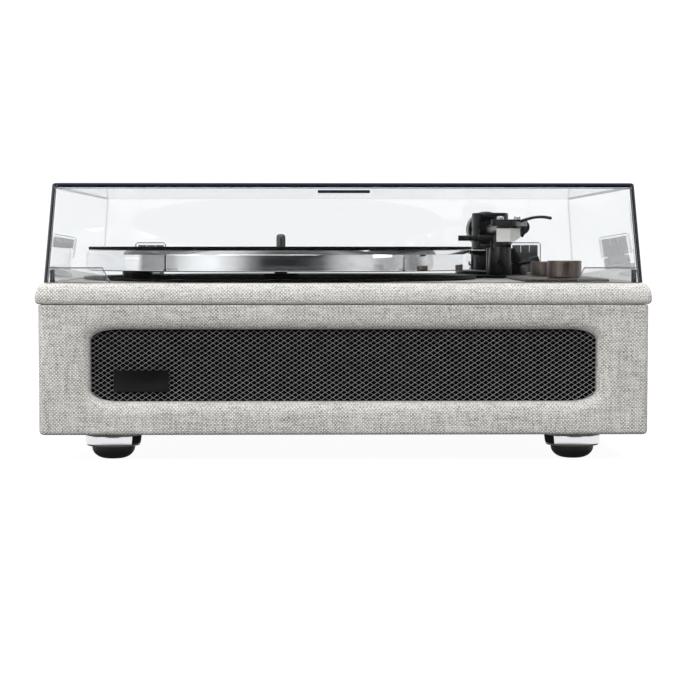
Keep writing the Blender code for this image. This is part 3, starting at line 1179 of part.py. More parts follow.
def make_headshell(finishes, arm_axis, tube_start):
    """The tube and, at its far end, the angled headshell with its cartridge, stylus and finger lift."""
    stylus_y = HEADSHELL_LENGTH - HEADSHELL_STYLUS_SETBACK
    aside = stylus_y * sin(HEADSHELL_OFFSET)
    bend = (ARM_EFFECTIVE_LENGTH**2 - aside**2) ** 0.5 - stylus_y * cos(HEADSHELL_OFFSET)
    collar_front = bend + COLLAR_RADIUS
    collar_back = collar_front - COLLAR_LENGTH
    socket_end = collar_back + COLLAR_SOCKET_DEPTH
    tube = [
        (TUBE_BORE_RADIUS, SEAT_GAP - tube_start),
        (TUBE_RADIUS, SEAT_GAP - tube_start),
        (TUBE_RADIUS, socket_end - SEAT_GAP),
        (TUBE_BORE_RADIUS, socket_end - SEAT_GAP),
    ]
    place("arm_tube", turned_to(lathe(tube, closed=True), "-Y"), finishes["tube"], parent=arm_axis)

    bottom = HEADSHELL_ABOVE_AXIS
    top = bottom + HEADSHELL_THICKNESS
    half = HEADSHELL_WIDTH / 2
    neck = HEADSHELL_NECK_WIDTH / 2
    nose = half / 2
    front = -HEADSHELL_LENGTH
    outline = [
        (neck, -COLLAR_RADIUS / 2),
        (-neck, -COLLAR_RADIUS / 2),
        (-neck, -COLLAR_RADIUS),
        (-half, -COLLAR_RADIUS - half),
        *((x - half + nose, y) for x, y in arc(0, front + nose, nose, pi, 3 * pi / 2, CORNER_STEPS)),
        *((x + half - nose, y) for x, y in arc(0, front + nose, nose, 3 * pi / 2, 2 * pi, CORNER_STEPS)),
        (half, -COLLAR_RADIUS - half),
        (neck, -COLLAR_RADIUS),
    ]
    spot = (0, -bend, 0)
    turn = (0, 0, HEADSHELL_OFFSET)
    headshell = place("headshell", plate(outline, bottom, top), finishes["arm"], spot, turn, arm_axis)
    collar = [
        (0, COLLAR_RADIUS),
        (COLLAR_RADIUS, COLLAR_RADIUS),
        (COLLAR_RADIUS, COLLAR_RADIUS - COLLAR_LENGTH),
        (TUBE_RADIUS + SEAT_GAP, COLLAR_RADIUS - COLLAR_LENGTH),
        (TUBE_RADIUS + SEAT_GAP, socket_end - bend),
        (0, socket_end - bend),
    ]
    collar = turned_to(lathe(collar), "-Y")
    bmesh.ops.rotate(collar, verts=collar.verts, matrix=Matrix.Rotation(-HEADSHELL_OFFSET, 3, "Z"))
    fuse(headshell, collar)

    ear_top = bottom - SEAT_GAP
    ear_bottom = ear_top - CARTRIDGE_EAR_THICKNESS
    body_bottom = ear_bottom - CARTRIDGE_HEIGHT
    nose_y = front + CARTRIDGE_SETBACK
    half_body = CARTRIDGE_WIDTH / 2
    half_ear = CARTRIDGE_EAR_WIDTH / 2
    cartridge = block(
        (-half_body, nose_y, body_bottom),
        (half_body, nose_y + CARTRIDGE_LENGTH, ear_bottom + FUSE_DEPTH),
        CARTRIDGE_EDGE,
    )
    cartridge = place("cartridge", cartridge, finishes["cream"], spot, turn, arm_axis)
    ear_front = nose_y + CARTRIDGE_EAR_SETBACK
    ear_back = ear_front + CARTRIDGE_EAR_LENGTH
    fuse(cartridge, block((-half_ear, ear_front, ear_bottom), (half_ear, ear_back, ear_top)))

    holder_top = body_bottom - SEAT_GAP
    holder_bottom = holder_top - STYLUS_HOLDER_HEIGHT
    holder_front = -stylus_y - STYLUS_TIP_RADIUS
    half_holder = STYLUS_HOLDER_WIDTH / 2
    holder = block(
        (-half_holder, holder_front, holder_bottom),
        (half_holder, holder_front + STYLUS_HOLDER_LENGTH, holder_top),
    )
    stylus = place("stylus", holder, finishes["plastic"], spot, turn, arm_axis)
    tip_end = holder_bottom - STYLUS_TIP_DROP
    tip = [(0, holder_bottom + FUSE_DEPTH), (STYLUS_TIP_RADIUS, holder_bottom + FUSE_DEPTH), (0, tip_end)]
    fuse(stylus, moved(lathe(tip, SMALL_STEPS // 2), (0, -stylus_y + STYLUS_TIP_RADIUS / 2, 0)))

    path = []
    for i in range(SMALL_STEPS // 2 + 1):
        share = 2 * i / SMALL_STEPS
        x = half + SEAT_GAP + FINGER_LIFT_REACH * share
        z = top - FINGER_LIFT_RADIUS + FINGER_LIFT_RISE * sin(3 * pi / 4 * share)
        path.append((x, FINGER_LIFT_SETBACK - HEADSHELL_LENGTH, z))
    lift = curve_rod("finger_lift", path, FINGER_LIFT_RADIUS, finishes["arm"])
    lift.parent = arm_axis
    lift.location = spot
    lift.rotation_euler = turn


def curve_rod(name, path, radius, material):
    """A round rod bent along a line of points."""
    curve = bpy.data.curves.new(name, "CURVE")
    curve.dimensions = "3D"
    curve.bevel_depth = radius
    curve.bevel_resolution = 2
    curve.use_fill_caps = True
    spline = curve.splines.new("POLY")
    spline.points.add(len(path) - 1)
    for point, place_on_path in zip(spline.points, path):
        point.co = (*place_on_path, 1.0)
    curve.materials.append(material)
    rod_object = bpy.data.objects.new(name, curve)
    bpy.context.scene.collection.objects.link(rod_object)
    return rod_object


def make_arm_rest(finishes):
    """The post that the parked tube lies on, with a swinging clip that locks it there."""
    park = axis_at("arm_park", (ARM_X, ARM_Y, 0), (0, 0, ARM_PARK_YAW))
    spot = (0, -REST_FROM_PIVOT, 0)
    column_top = ON_DECK + REST_COLUMN_HEIGHT
    column = [(0, column_top), (REST_TOP_RADIUS, column_top), (REST_FOOT_RADIUS, ON_DECK), (0, ON_DECK)]
    rest = place("arm_rest", lathe(column), finishes["arm"], spot, parent=park)
    post_near = TUBE_RADIUS + REST_UNDER_TUBE
    post_far = post_near + REST_POST_WIDTH
    half_cradle = REST_CRADLE_LENGTH / 2
    cradle_top = ARM_AXIS_Z - TUBE_RADIUS - REST_UNDER_TUBE
    post_top = ARM_AXIS_Z + REST_POST_ABOVE_AXIS
    cradle = [
        (-TUBE_RADIUS, column_top - FUSE_DEPTH),
        (post_far, column_top - FUSE_DEPTH),
        (post_far, post_top),
        (post_near, post_top),
        (post_near, cradle_top),
        (-TUBE_RADIUS, cradle_top),
    ]
    fuse(rest, turned_to(plate(cradle, -half_cradle, half_cradle), "-Y"))
    pin_x = (post_near + post_far) / 2
    pin_z = ARM_AXIS_Z + CLIP_PIN_ABOVE_AXIS
    hole_start = half_cradle - CLIP_PIN_DEPTH - SEAT_GAP
    hole = turned_to(rod(CLIP_PIN_RADIUS + SEAT_GAP, hole_start, half_cradle + CUT_OVERRUN), "-Y")
    cut(rest, moved(hole, (pin_x, 0, pin_z)))

    clip_y = -REST_FROM_PIVOT - half_cradle - SEAT_GAP
    clip_axis = axis_at("clip_axis", (pin_x, clip_y, pin_z), (0, CLIP_OPEN_ANGLE, 0), park)
    inner = TUBE_RADIUS + CLIP_ROUND_TUBE
    outer = inner + CLIP_ARM_WIDTH
    half_arm = CLIP_ARM_WIDTH / 2
    arm_top = outer - CLIP_PIN_ABOVE_AXIS
    arm_underside = inner - CLIP_PIN_ABOVE_AXIS
    hook = [
        (half_arm, -half_arm),
        (half_arm, arm_top - half_arm),
        (0, arm_top),
        (-pin_x - outer, arm_top),
        (-pin_x - outer, arm_underside - CLIP_LIP_DROP),
        (-pin_x - inner, arm_underside - CLIP_LIP_DROP),
        (-pin_x - inner, arm_underside),
        (-half_arm, arm_underside),
        (-half_arm, -half_arm),
    ]
    hook_plate = turned_to(plate(hook, 0, CLIP_ARM_THICKNESS), "-Y")
    clip = place("arm_clip", hook_plate, finishes["arm"], parent=clip_axis)
    fuse(clip, turned_to(rod(CLIP_PIN_RADIUS, -CLIP_PIN_DEPTH, CLIP_ARM_THICKNESS / 2), "-Y"))


def make_cueing(finishes):
    """The lift: a pillar with the lever's bearing block, the curved platform and the lever."""
    pillar_x = ARM_X + CUE_ARC_RADIUS * sin(CUE_PILLAR_YAW)
    pillar_y = ARM_Y - CUE_ARC_RADIUS * cos(CUE_PILLAR_YAW)
    platform_top = -TUBE_RADIUS - CUE_UNDER_TUBE
    platform_bottom = platform_top - CUE_ARC_THICKNESS
    pillar_top = ARM_AXIS_Z + platform_bottom - CUE_PLUNGER_SHOWING
    bore_floor = ARM_AXIS_Z + platform_bottom - CUE_PLUNGER_DEPTH - SEAT_GAP
    bore = CUE_PLUNGER_RADIUS + SEAT_GAP
    pillar = [
        (bore, pillar_top),
        (CUE_PILLAR_RADIUS, pillar_top),
        (CUE_PILLAR_RADIUS, ON_DECK),
        (0, ON_DECK),
        (0, bore_floor),
        (bore, bore_floor),
    ]
    spot = (pillar_x, pillar_y, 0)
    housing = place("cue_housing", lathe(pillar, SMALL_STEPS, closed=True), finishes["arm"], spot)
    half_block = CUE_BLOCK_DEPTH / 2
    block_left = (CUE_PILLAR_RADIUS + bore) / 2
    block_right = block_left + CUE_BLOCK_WIDTH
    side_outline = [
        (block_left, ON_DECK),
        (block_right, ON_DECK),
        (block_right, ON_DECK + CUE_BLOCK_SHOULDER),
        (block_left + CUE_BLOCK_TOP_WIDTH, pillar_top),
        (block_left, pillar_top),
    ]
    fuse(housing, turned_to(plate(side_outline, -half_block, half_block), "-Y"))
    lever_x = block_right - CUE_AXIS_FROM_EDGE
    lever_z = ON_DECK + CUE_AXIS_HEIGHT
    half_hole = half_block + CUT_OVERRUN
    hole = turned_to(rod(CUE_PIN_RADIUS + SEAT_GAP, -half_hole, half_hole), "-Y")
    cut(housing, moved(hole, (lever_x, 0, lever_z)))

    platform_axis = axis_at("cue_platform_axis", (ARM_X, ARM_Y, ARM_AXIS_Z), (0, 0, CUE_PILLAR_YAW))
    start = -pi / 2 - CUE_ARC_INNER_ANGLE
    end = -pi / 2 - CUE_ARC_OUTER_ANGLE
    half_arc = CUE_ARC_WIDTH / 2
    outline = arc(0, 0, CUE_ARC_RADIUS + half_arc, start, end, SMALL_STEPS)
    outline += arc(0, 0, CUE_ARC_RADIUS - half_arc, end, start, SMALL_STEPS)
    platform = plate(outline, platform_bottom, platform_top)
    platform = place("cue_platform", platform, finishes["arm"], parent=platform_axis)
    plunger = rod(CUE_PLUNGER_RADIUS, platform_bottom - CUE_PLUNGER_DEPTH, platform_bottom + FUSE_DEPTH)
    fuse(platform, moved(plunger, (0, -CUE_ARC_RADIUS, 0)))

    lever_axis = axis_at("cue_lever_axis", (pillar_x + lever_x, pillar_y, lever_z))
    arm_y = half_block + SEAT_GAP + CUE_LEVER_RADIUS
    pin = turned_to(rod(CUE_PIN_RADIUS, -half_block, arm_y + CUE_LEVER_RADIUS), "-Y")
    lever = place("cue_lever", pin, finishes["arm"], parent=lever_axis)
    rise = Matrix.Rotation(-CUE_LEVER_RISE, 3, "Y")
    for radius, near, far in (
        (CUE_LEVER_RADIUS, 0, CUE_LEVER_REACH),
        (CUE_GRIP_RADIUS, CUE_LEVER_REACH - CUE_GRIP_LENGTH, CUE_LEVER_REACH + KNOB_EDGE),
    ):
        stick = turned_to(rod(radius, near, far, SMALL_STEPS // 2), "+X")
        bmesh.ops.rotate(stick, verts=stick.verts, matrix=rise)
        fuse(lever, moved(stick, (0, -arm_y, 0)))

    stop = [
        (0, STOP_BUTTON_HEIGHT),
        (STOP_BUTTON_RADIUS / 2, STOP_BUTTON_HEIGHT - KNOB_EDGE / 4),
        (STOP_BUTTON_RADIUS - KNOB_EDGE, STOP_BUTTON_HEIGHT - KNOB_EDGE),
        (STOP_BUTTON_RADIUS, STOP_BUTTON_HEIGHT - 2 * KNOB_EDGE),
        (STOP_BUTTON_RADIUS, 0),
        (STOP_BUTTON_STEM_RADIUS, 0),
        (STOP_BUTTON_STEM_RADIUS, -STOP_BUTTON_LIFT - STOP_BUTTON_STEM_DEPTH),
        (0, -STOP_BUTTON_LIFT - STOP_BUTTON_STEM_DEPTH),
    ]
    stop_axis = axis_at("stop_axis", (STOP_BUTTON_X, STOP_BUTTON_Y, DECK_TOP + STOP_BUTTON_LIFT))
    place("auto_stop_button", lathe(stop, SMALL_STEPS), finishes["arm"], parent=stop_axis)


def to_hinge(shape):
    """Shift a shape made in the record player's frame into the frame of the cover's hinge axis."""
    return moved(shape, (0, -HINGE_AXIS_Y, -HINGE_AXIS_Z))


def cover_ring(height, inset, corner):
    """The cover's outline at a height above its rim, drafted inwards and drawn in by an inset."""
    shrink = 2 * (inset + height * tan(COVER_DRAFT))
    middle_y = COVER_FRONT_Y + COVER_DEPTH / 2
    outline = rounded_outline(COVER_WIDTH - shrink, COVER_DEPTH - shrink, corner, corner)
    return [(x, middle_y + y, COVER_BOTTOM + height) for x, y in outline]


def make_cover(finishes):
    """The clear cover: a drafted shell with two hinge sockets on its back wall and a grip bar in front."""
    cover_axis = axis_at("cover_axis", (0, HINGE_AXIS_Y, HINGE_AXIS_Z))
    soft = COVER_EDGE_ROUNDING
    rings = [cover_ring(0, 0, COVER_CORNER_RADIUS)]
    for i in range(CORNER_STEPS):
        angle = pi / 2 * i / (CORNER_STEPS - 1)
        inset = soft * (1 - cos(angle))
        rings.append(cover_ring(COVER_HEIGHT - soft * (1 - sin(angle)), inset, COVER_CORNER_RADIUS - inset))
    cover = place("dust_cover", to_hinge(loft(rings)), finishes["clear"], parent=cover_axis)

    socket_top = SOCKET_TOP_ABOVE_LID + LID_TOP
    socket_bottom = HINGE_AXIS_Z + HINGE_KNUCKLE_RADIUS + SOCKET_ABOVE_KNUCKLE
    half_pocket_y = HINGE_TONGUE_THICKNESS / 2 + SEAT_GAP
    half_pocket_x = SOCKET_WIDTH / 2 - SOCKET_WALL
    socket_front = COVER_BACK_Y - (socket_top - COVER_BOTTOM) * tan(COVER_DRAFT) - FUSE_DEPTH / 2
    socket_back = HINGE_AXIS_Y + half_pocket_y + SOCKET_WALL
    for side in (-1, 1):
        x = side * HINGE_SPACING / 2
        fuse(
            cover,
            to_hinge(
                block(
                    (x - SOCKET_WIDTH / 2, socket_front, socket_bottom),
                    (x + SOCKET_WIDTH / 2, socket_back, socket_top),
                )
            ),
        )
    inner_corner = COVER_CORNER_RADIUS - COVER_WALL
    inside = [
        cover_ring(-CUT_OVERRUN, COVER_WALL, inner_corner),
        cover_ring(COVER_HEIGHT - COVER_WALL, COVER_WALL, inner_corner),
    ]
    cut(cover, to_hinge(loft(inside)))
    for side in (-1, 1):
        x = side * HINGE_SPACING / 2
        low = (x - half_pocket_x, HINGE_AXIS_Y - half_pocket_y, socket_bottom - CUT_OVERRUN)
        high = (x + half_pocket_x, HINGE_AXIS_Y + half_pocket_y, socket_top - SOCKET_WALL)
        cut(cover, to_hinge(block(low, high)))
    grip_top = COVER_HEIGHT - GRIP_BELOW_TOP
    grip_y = COVER_FRONT_Y + grip_top * tan(COVER_DRAFT)
    grip = block(
        (-GRIP_WIDTH / 2, grip_y - GRIP_REACH, COVER_BOTTOM + grip_top - GRIP_HEIGHT),
        (GRIP_WIDTH / 2, grip_y + FUSE_DEPTH, COVER_BOTTOM + grip_top),
    )
    fuse(cover, to_hinge(grip))

    rise = BUMPER_HEIGHT * tan(COVER_DRAFT) + SEAT_GAP
    outer_x = COVER_WIDTH / 2 - COVER_WALL - rise
    front_y = COVER_FRONT_Y + COVER_WALL + rise + BUMPER_CORNER_GAP
    for name, side in (("left", -1), ("right", 1)):
        low = (min(side * outer_x, side * (outer_x - BUMPER_WIDTH)), front_y, COVER_BOTTOM)
        high = (low[0] + BUMPER_WIDTH, front_y + BUMPER_DEPTH, COVER_BOTTOM + BUMPER_HEIGHT)
        place(f"cover_bumper_{name}", to_hinge(block(low, high)), finishes["rubber"], parent=cover_axis)
    make_hinges(finishes, cover_axis, socket_bottom, socket_top)


def make_hinges(finishes, cover_axis, socket_bottom, socket_top):
    """Each hinge: a base with two ears and a pin on the lid, and a leaf whose tongues sit in the socket."""
    knuckle = HINGE_KNUCKLE_RADIUS
    half_leaf = SOCKET_WIDTH / 2 - SOCKET_WALL - SEAT_GAP
    half_between = half_leaf - HINGE_EAR_WIDTH
    half_tongue = HINGE_TONGUE_THICKNESS / 2
    base_top = HINGE_AXIS_Z - knuckle - SEAT_GAP
    for name, side in (("left", -1), ("right", 1)):
        spot = (side * HINGE_SPACING / 2, 0, 0)
        ear = [(-knuckle, DECK_BOTTOM - HINGE_AXIS_Z), (knuckle, DECK_BOTTOM - HINGE_AXIS_Z)]
        ear += arc(0, 0, knuckle, 0, pi, SMALL_STEPS // 2)
        solid = plate([(-z, y) for y, z in ear], -half_leaf, half_leaf)
        base = place(
            f"hinge_base_{name}",
            turned_to(solid, "+X"),
            finishes["plastic"],
            (spot[0], HINGE_AXIS_Y, HINGE_AXIS_Z),
        )
        gap_low = (-half_between, -knuckle - CUT_OVERRUN, base_top - HINGE_AXIS_Z)
        gap_high = (half_between, knuckle + CUT_OVERRUN, knuckle + CUT_OVERRUN)
        cut(base, block(gap_low, gap_high))
        half_pin = half_between + FUSE_DEPTH
        fuse(base, turned_to(rod(HINGE_PIN_RADIUS, -half_pin, half_pin), "+X"))

        half_knuckle = half_between - SEAT_GAP
        barrel = [
            (HINGE_PIN_RADIUS + SEAT_GAP, half_knuckle),
            (knuckle, half_knuckle),
            (knuckle, -half_knuckle),
            (HINGE_PIN_RADIUS + SEAT_GAP, -half_knuckle),
        ]
        leaf = place(
            f"hinge_leaf_{name}",
            turned_to(lathe(barrel, SMALL_STEPS, closed=True), "+X"),
            finishes["plastic"],
            spot,
            parent=cover_axis,
        )
        root_low = socket_bottom - HINGE_AXIS_Z
        root_high = root_low + HINGE_ROOT_HEIGHT
        neck_low = (knuckle + HINGE_PIN_RADIUS + SEAT_GAP) / 2
        neck_high = root_low + FUSE_DEPTH
        neck_x = half_knuckle - SEAT_GAP
        neck_y = half_tongue - SEAT_GAP
        fuse(leaf, block((-neck_x, -neck_y, neck_low), (neck_x, neck_y, neck_high)))
        tongue_top = socket_top - SOCKET_WALL - SEAT_GAP - HINGE_AXIS_Z
        pitch = (2 * half_leaf - HINGE_TONGUE_WIDTH) / (HINGE_TONGUES - 1)
        comb = [(-half_leaf, root_low), (half_leaf, root_low)]
        for i in range(HINGE_TONGUES - 1, -1, -1):
            left = -half_leaf + i * pitch
            right = left + HINGE_TONGUE_WIDTH
            if i < HINGE_TONGUES - 1:
                comb.append((right, root_high))
            comb += [(right, tongue_top), (left, tongue_top)]
            if i > 0:
                comb.append((left, root_high))
        fuse(leaf, turned_to(plate(comb, -half_tongue, half_tongue), "-Y"))


def build():
    clear_scene()
    finishes = make_finishes()
    make_feet(finishes)
    make_cabinet(finishes)
    make_lid(finishes)
    make_deck(finishes)
    make_grille(finishes)
    make_speakers(finishes)
    make_bearing_and_platter(finishes)
    make_drive(finishes)
    make_controls(finishes)
    make_rear_panel(finishes)
    make_board(finishes)
    make_arm_base(finishes)
    make_arm(finishes)
    make_arm_rest(finishes)
    make_cueing(finishes)
    make_cover(finishes)


build()
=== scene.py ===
# %% [markdown]
# # A cloth-covered record player
#
# This file dresses a finished CAD model of a record player, so that it renders like the
# real thing. The CAD model is the frame: it gives every size, and it says what moves.
# Each step below makes one family of pieces or one finish. All sizes are in metres,
# +X is the player's right-hand side, +Y is its back and +Z is up.

# %% Load the frame
import json
from math import atan2, cos, hypot, pi, radians, sin, sqrt, tan

import bmesh
import bpy
from mathutils import Matrix, Vector


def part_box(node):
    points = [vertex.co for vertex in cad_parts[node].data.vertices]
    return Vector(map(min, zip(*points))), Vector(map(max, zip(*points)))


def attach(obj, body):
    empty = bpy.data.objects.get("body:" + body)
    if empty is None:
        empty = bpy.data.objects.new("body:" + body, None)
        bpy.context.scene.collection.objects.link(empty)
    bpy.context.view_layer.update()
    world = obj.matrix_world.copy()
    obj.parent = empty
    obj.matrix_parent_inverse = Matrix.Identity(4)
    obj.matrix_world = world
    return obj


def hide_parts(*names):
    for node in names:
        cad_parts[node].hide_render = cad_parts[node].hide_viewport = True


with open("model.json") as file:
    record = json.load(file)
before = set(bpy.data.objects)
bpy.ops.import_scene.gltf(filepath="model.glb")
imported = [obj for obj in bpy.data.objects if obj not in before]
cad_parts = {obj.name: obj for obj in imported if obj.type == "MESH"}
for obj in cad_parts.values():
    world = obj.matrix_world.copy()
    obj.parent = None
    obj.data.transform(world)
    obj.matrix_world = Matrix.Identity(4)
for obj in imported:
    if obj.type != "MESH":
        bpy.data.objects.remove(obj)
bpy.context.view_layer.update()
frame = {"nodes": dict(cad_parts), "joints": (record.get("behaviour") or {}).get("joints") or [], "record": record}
nodes = frame["nodes"]
MM = 0.001
print("the CAD model holds", len(nodes), "pieces")

# %% [markdown]
# ## The camera
#
# The picture was taken from well back with a long lens, a little above the platter, so the
# player looks almost flat. A long lens close to level is copied by its focal length, its
# distance and two small turns: a few degrees down and less than one to the right.

# %% Place the camera
CAMERA_PLACE = (-18.3 * MM, -1410.0 * MM, 150.5 * MM)
CAMERA_DOWN = radians(3.133)
CAMERA_TO_RIGHT = radians(0.846)
CAMERA_LENS_MM = 94.2
SENSOR_MM = 36.0

lens = bpy.data.cameras.new("camera")
lens.lens = CAMERA_LENS_MM
lens.sensor_width = SENSOR_MM
lens.clip_start = 10 * MM
camera = bpy.data.objects.new("camera", lens)
bpy.context.scene.collection.objects.link(camera)
camera.location = CAMERA_PLACE
camera.rotation_euler = (pi / 2 - CAMERA_DOWN, 0, -CAMERA_TO_RIGHT)
bpy.context.scene.camera = camera
print("the camera stands", round(-CAMERA_PLACE[1], 2), "m in front")

# %% [markdown]
# ## A kit for meshes and shaders
#
# A finish is a small tree of shader nodes, and so is the light of the room. The class here
# gives short names to adding nodes and to joining them. Its textures read object
# coordinates, in metres, so a finish has the same scale on every piece.

finishes = {}


def mesh_object(name, shape):
    """Turn a bmesh into an object in the scene."""
    mesh = bpy.data.meshes.new(name)
    shape.to_mesh(mesh)
    shape.free()
    piece = bpy.data.objects.new(name, mesh)
    bpy.context.scene.collection.objects.link(piece)
    return piece


def quarter(steps):
    """The angles of a quarter turn, in even steps."""
    return [pi / 2 * i / steps for i in range(steps + 1)]


class Tree:
    """Short names for adding and joining the nodes of one shader tree."""

    def __init__(self, owner):
        owner.use_nodes = True
        self.owner = owner
        self.tree = owner.node_tree
        self.shader = self.tree.nodes.get("Principled BSDF")
        self.place = None

    def node(self, kind, **settings):
        made = self.tree.nodes.new(kind)
        for key, value in settings.items():
            setattr(made, key, value)
        return made

    def join(self, source, target):
        self.tree.links.new(source, target)

    def math(self, operation, *values):
        """A sum on numbers or on other nodes' outputs."""
        made = self.node("ShaderNodeMath", operation=operation)
        for socket, value in zip(made.inputs, values):
            if isinstance(value, (int, float)):
                socket.default_value = value
            else:
                self.join(value, socket)
        return made.outputs["Value"]

    def times(self, first, second):
        return self.math("MULTIPLY", first, second)

    def total(self, first, *others):
        for other in others:
            first = self.math("ADD", first, other)
        return first

    def parts(self, vector):
        """The three numbers of a vector."""
        made = self.node("ShaderNodeSeparateXYZ")
        self.join(vector, made.inputs[0])
        return [made.outputs[axis] for axis in "XYZ"]

    def where(self, scale=(1, 1, 1)):
        """The point being shaded, in metres, stretched by a scale along each axis."""
        if self.place is None:
            self.place = self.node("ShaderNodeTexCoord").outputs["Object"]
        stretch = self.node("ShaderNodeVectorMath", operation="MULTIPLY")
        self.join(self.place, stretch.inputs[0])
        stretch.inputs[1].default_value = scale
        return stretch.outputs["Vector"]

    def noise(self, scale, detail=2.0, rough=0.5, output="Fac"):
        """Noise from 0 to 1, with as many blobs a metre along each axis as the scale says."""
        made = self.node("ShaderNodeTexNoise")
        for name, value in (("Scale", 1.0), ("Detail", detail), ("Roughness", rough)):
            made.inputs[name].default_value = value
        self.join(self.where(scale), made.inputs["Vector"])
        return made.outputs[output]

    def span(self, value, low, high, to_low, to_high, **settings):
        """Read a value between two limits as a value between two others."""
        made = self.node("ShaderNodeMapRange", **settings)
        for socket, number in zip(list(made.inputs)[1:5], (low, high, to_low, to_high)):
            socket.default_value = number
        self.join(value, made.inputs["Value"])
        return made.outputs["Result"]

    def paint(self, value, *stops):
        """Colour the surface by a value, through (position, colour) stops."""
        made = self.node("ShaderNodeValToRGB")
        marks = made.color_ramp.elements
        while len(marks) < len(stops):
            marks.new(0.5)
        for mark, (position, colour) in zip(marks, stops):
            mark.position = position
            mark.color = (*colour, 1.0)
        self.join(value, made.inputs["Fac"])
        self.join(made.outputs["Color"], self.shader.inputs["Base Color"])

    def roughen(self, value, low, high):
        """Let a value between 0.3 and 0.7 take the roughness from one number to another."""
        self.join(self.span(value, 0.3, 0.7, low, high), self.shader.inputs["Roughness"])

    def raise_by(self, value, distance, strength=1.0):
        """Bump: the value's lights and darks become hills of this height."""
        made = self.node("ShaderNodeBump")
        made.inputs["Distance"].default_value = distance
        made.inputs["Strength"].default_value = strength
        self.join(value, made.inputs["Height"])
        self.join(made.outputs["Normal"], self.shader.inputs["Normal"])

    def set(self, **values):
        """Set plain numbers on the shader's own sockets."""
        for name, value in values.items():
            self.shader.inputs[name.replace("_", " ")].default_value = value


def new_finish(name, colour, roughness, metallic=0.0, **sockets):
    """A Principled material with one colour, as a start for the finishes below."""
    finishes[name] = bpy.data.materials.new(name)
    tree = Tree(finishes[name])
    tree.shader.inputs["Base Color"].default_value = (*colour, 1.0)
    tree.set(Roughness=roughness, Metallic=metallic, **sockets)
    return tree


print("the kit is ready")

# %% [markdown]
# ## The studio
#
# A product picture like this one is taken in a white room. The floor is one plain pale
# sheet that runs back and curves up into a wall, which photographers call a sweep: without
# a corner there is no line behind the player. The sheet glows by itself, so it is white
# from every side, and it takes no part in reflections.

# %% Make the sweep
SWEEP_WIDTH = 24.0
SWEEP_FRONT = -14.0
SWEEP_BACK = 2.2
SWEEP_BEND = 0.8
SWEEP_HEIGHT = 3.0
SWEEP_STEPS = 16
SHEET_GLOW = 0.94
SHEET_SHARE = 0.14
PAPER_ROUGHNESS = 0.9

profile = [(SWEEP_FRONT, 0.0), (SWEEP_BACK - SWEEP_BEND, 0.0)]
for angle in quarter(SWEEP_STEPS)[1:]:
    y = SWEEP_BACK - SWEEP_BEND * (1 - sin(angle))
    profile.append((y, SWEEP_BEND * (1 - cos(angle))))
profile.append((SWEEP_BACK, SWEEP_HEIGHT))
sheet = bmesh.new()
rows = [[sheet.verts.new((side * SWEEP_WIDTH / 2, y, z)) for side in (-1, 1)] for y, z in profile]
for near, far in zip(rows, rows[1:]):
    sheet.faces.new((near[0], near[1], far[1], far[0]))
paper = new_finish("sweep_paper", (SHEET_SHARE,) * 3, PAPER_ROUGHNESS)
paper.set(Emission_Color=(1.0, 1.0, 1.0, 1.0), Emission_Strength=SHEET_GLOW)
paper.owner.cycles.emission_sampling = "NONE"
sweep = mesh_object("sweep", sheet)
sweep.data.materials.append(paper.owner)
sweep.data.shade_smooth()
sweep.visible_diffuse = sweep.visible_glossy = sweep.visible_shadow = False
print("the sweep has", len(sweep.data.polygons), "faces")

# %% [markdown]
# ### Black cards as painted shade
#
# Under the cabinet the room lies in shade, and chrome shows that, but the sweep takes no part
# in reflections. Two upright black cards that only reflections see stand in for that shade:
# they give the inner sides of the chromed feet their dark bands, a painted reflection of shade.

# %% Stand black cards between the feet, as painted shade for reflections
CARD_X = 118 * MM
CARD_Y = 150 * MM
CARD_FOOT = 1 * MM
CARD_HEIGHT = 18 * MM
# Painted shade: black cards seen only in reflections, where the floor under the cabinet is in shade.
new_finish("shade_card_black", (0.01, 0.01, 0.01), PAPER_ROUGHNESS)
for side in (-1, 1):
    shape = bmesh.new()
    corners = [(y, z) for y in (-CARD_Y, CARD_Y) for z in (CARD_FOOT, CARD_HEIGHT)]
    shape.faces.new([shape.verts.new((side * CARD_X, *corners[i])) for i in (0, 1, 3, 2)])
    card = mesh_object(f"card_{side + 1}", shape)
    card.data.materials.append(finishes["shade_card_black"])
    card.visible_camera = card.visible_diffuse = False
    card.visible_transmission = card.visible_shadow = False
print("two black cards darken the inner sides of the feet")

# %% [markdown]
# ### The painted room
#
# The bright and dark bands on the platter's rim are mirror images of the screens, lamps
# and dark gaps round the room. They are painted on the background as brightness against
# heading: 0 degrees is the camera's side and 90 the player's right. The platter's chamfer
# leans up and sees higher screens, so it has a list of its own. Over them is a ceiling and
# under them a floor. Where the camera looks straight at the room, also through the clear
# cover, it finds plain white.

# %% Paint the room's light
SCREENS = (
    (-180, 1.00), (-140, 0.92), (-112, 1.00), (-90, 1.20), (-86, 0.34), (-64, 0.42), (-59, 0.85),
    (-50, 1.15), (-38, 1.30), (-26, 0.85), (-16, 0.22), (-9, 0.03), (16, 0.02), (24, 0.08),
    (33, 0.55), (46, 0.84), (54, 0.80), (60, 0.44), (68, 0.33), (77, 0.48), (82, 0.26),
    (88, 0.30), (94, 0.80), (104, 0.62), (112, 0.42), (128, 0.32), (145, 0.50), (180, 0.95),
)  # fmt: skip
HIGH_SCREENS = (
    (-180, 0.90), (-135, 0.70), (-120, 0.50), (-110, 0.24), (-82, 0.10), (-72, 0.32), (-54, 0.95),
    (-34, 0.80), (-14, 0.20), (-4, 0.04), (26, 0.05), (36, 0.09), (46, 0.32), (56, 0.20),
    (74, 0.06), (115, 0.04), (137, 0.25), (155, 0.60), (180, 0.90),
)  # fmt: skip
SCREEN_TOP = (0.22, 0.36)
CEILING = (0.86, 0.94)
FLOOR_NEAR = (-0.075, -0.045)
FLOOR_FAR = (-0.32, -0.22)
CEILING_LIGHT = 0.75
NEAR_LIGHT = 1.0
FLOOR_LIGHT = 0.08
ROOM_SHOWN = 1.0

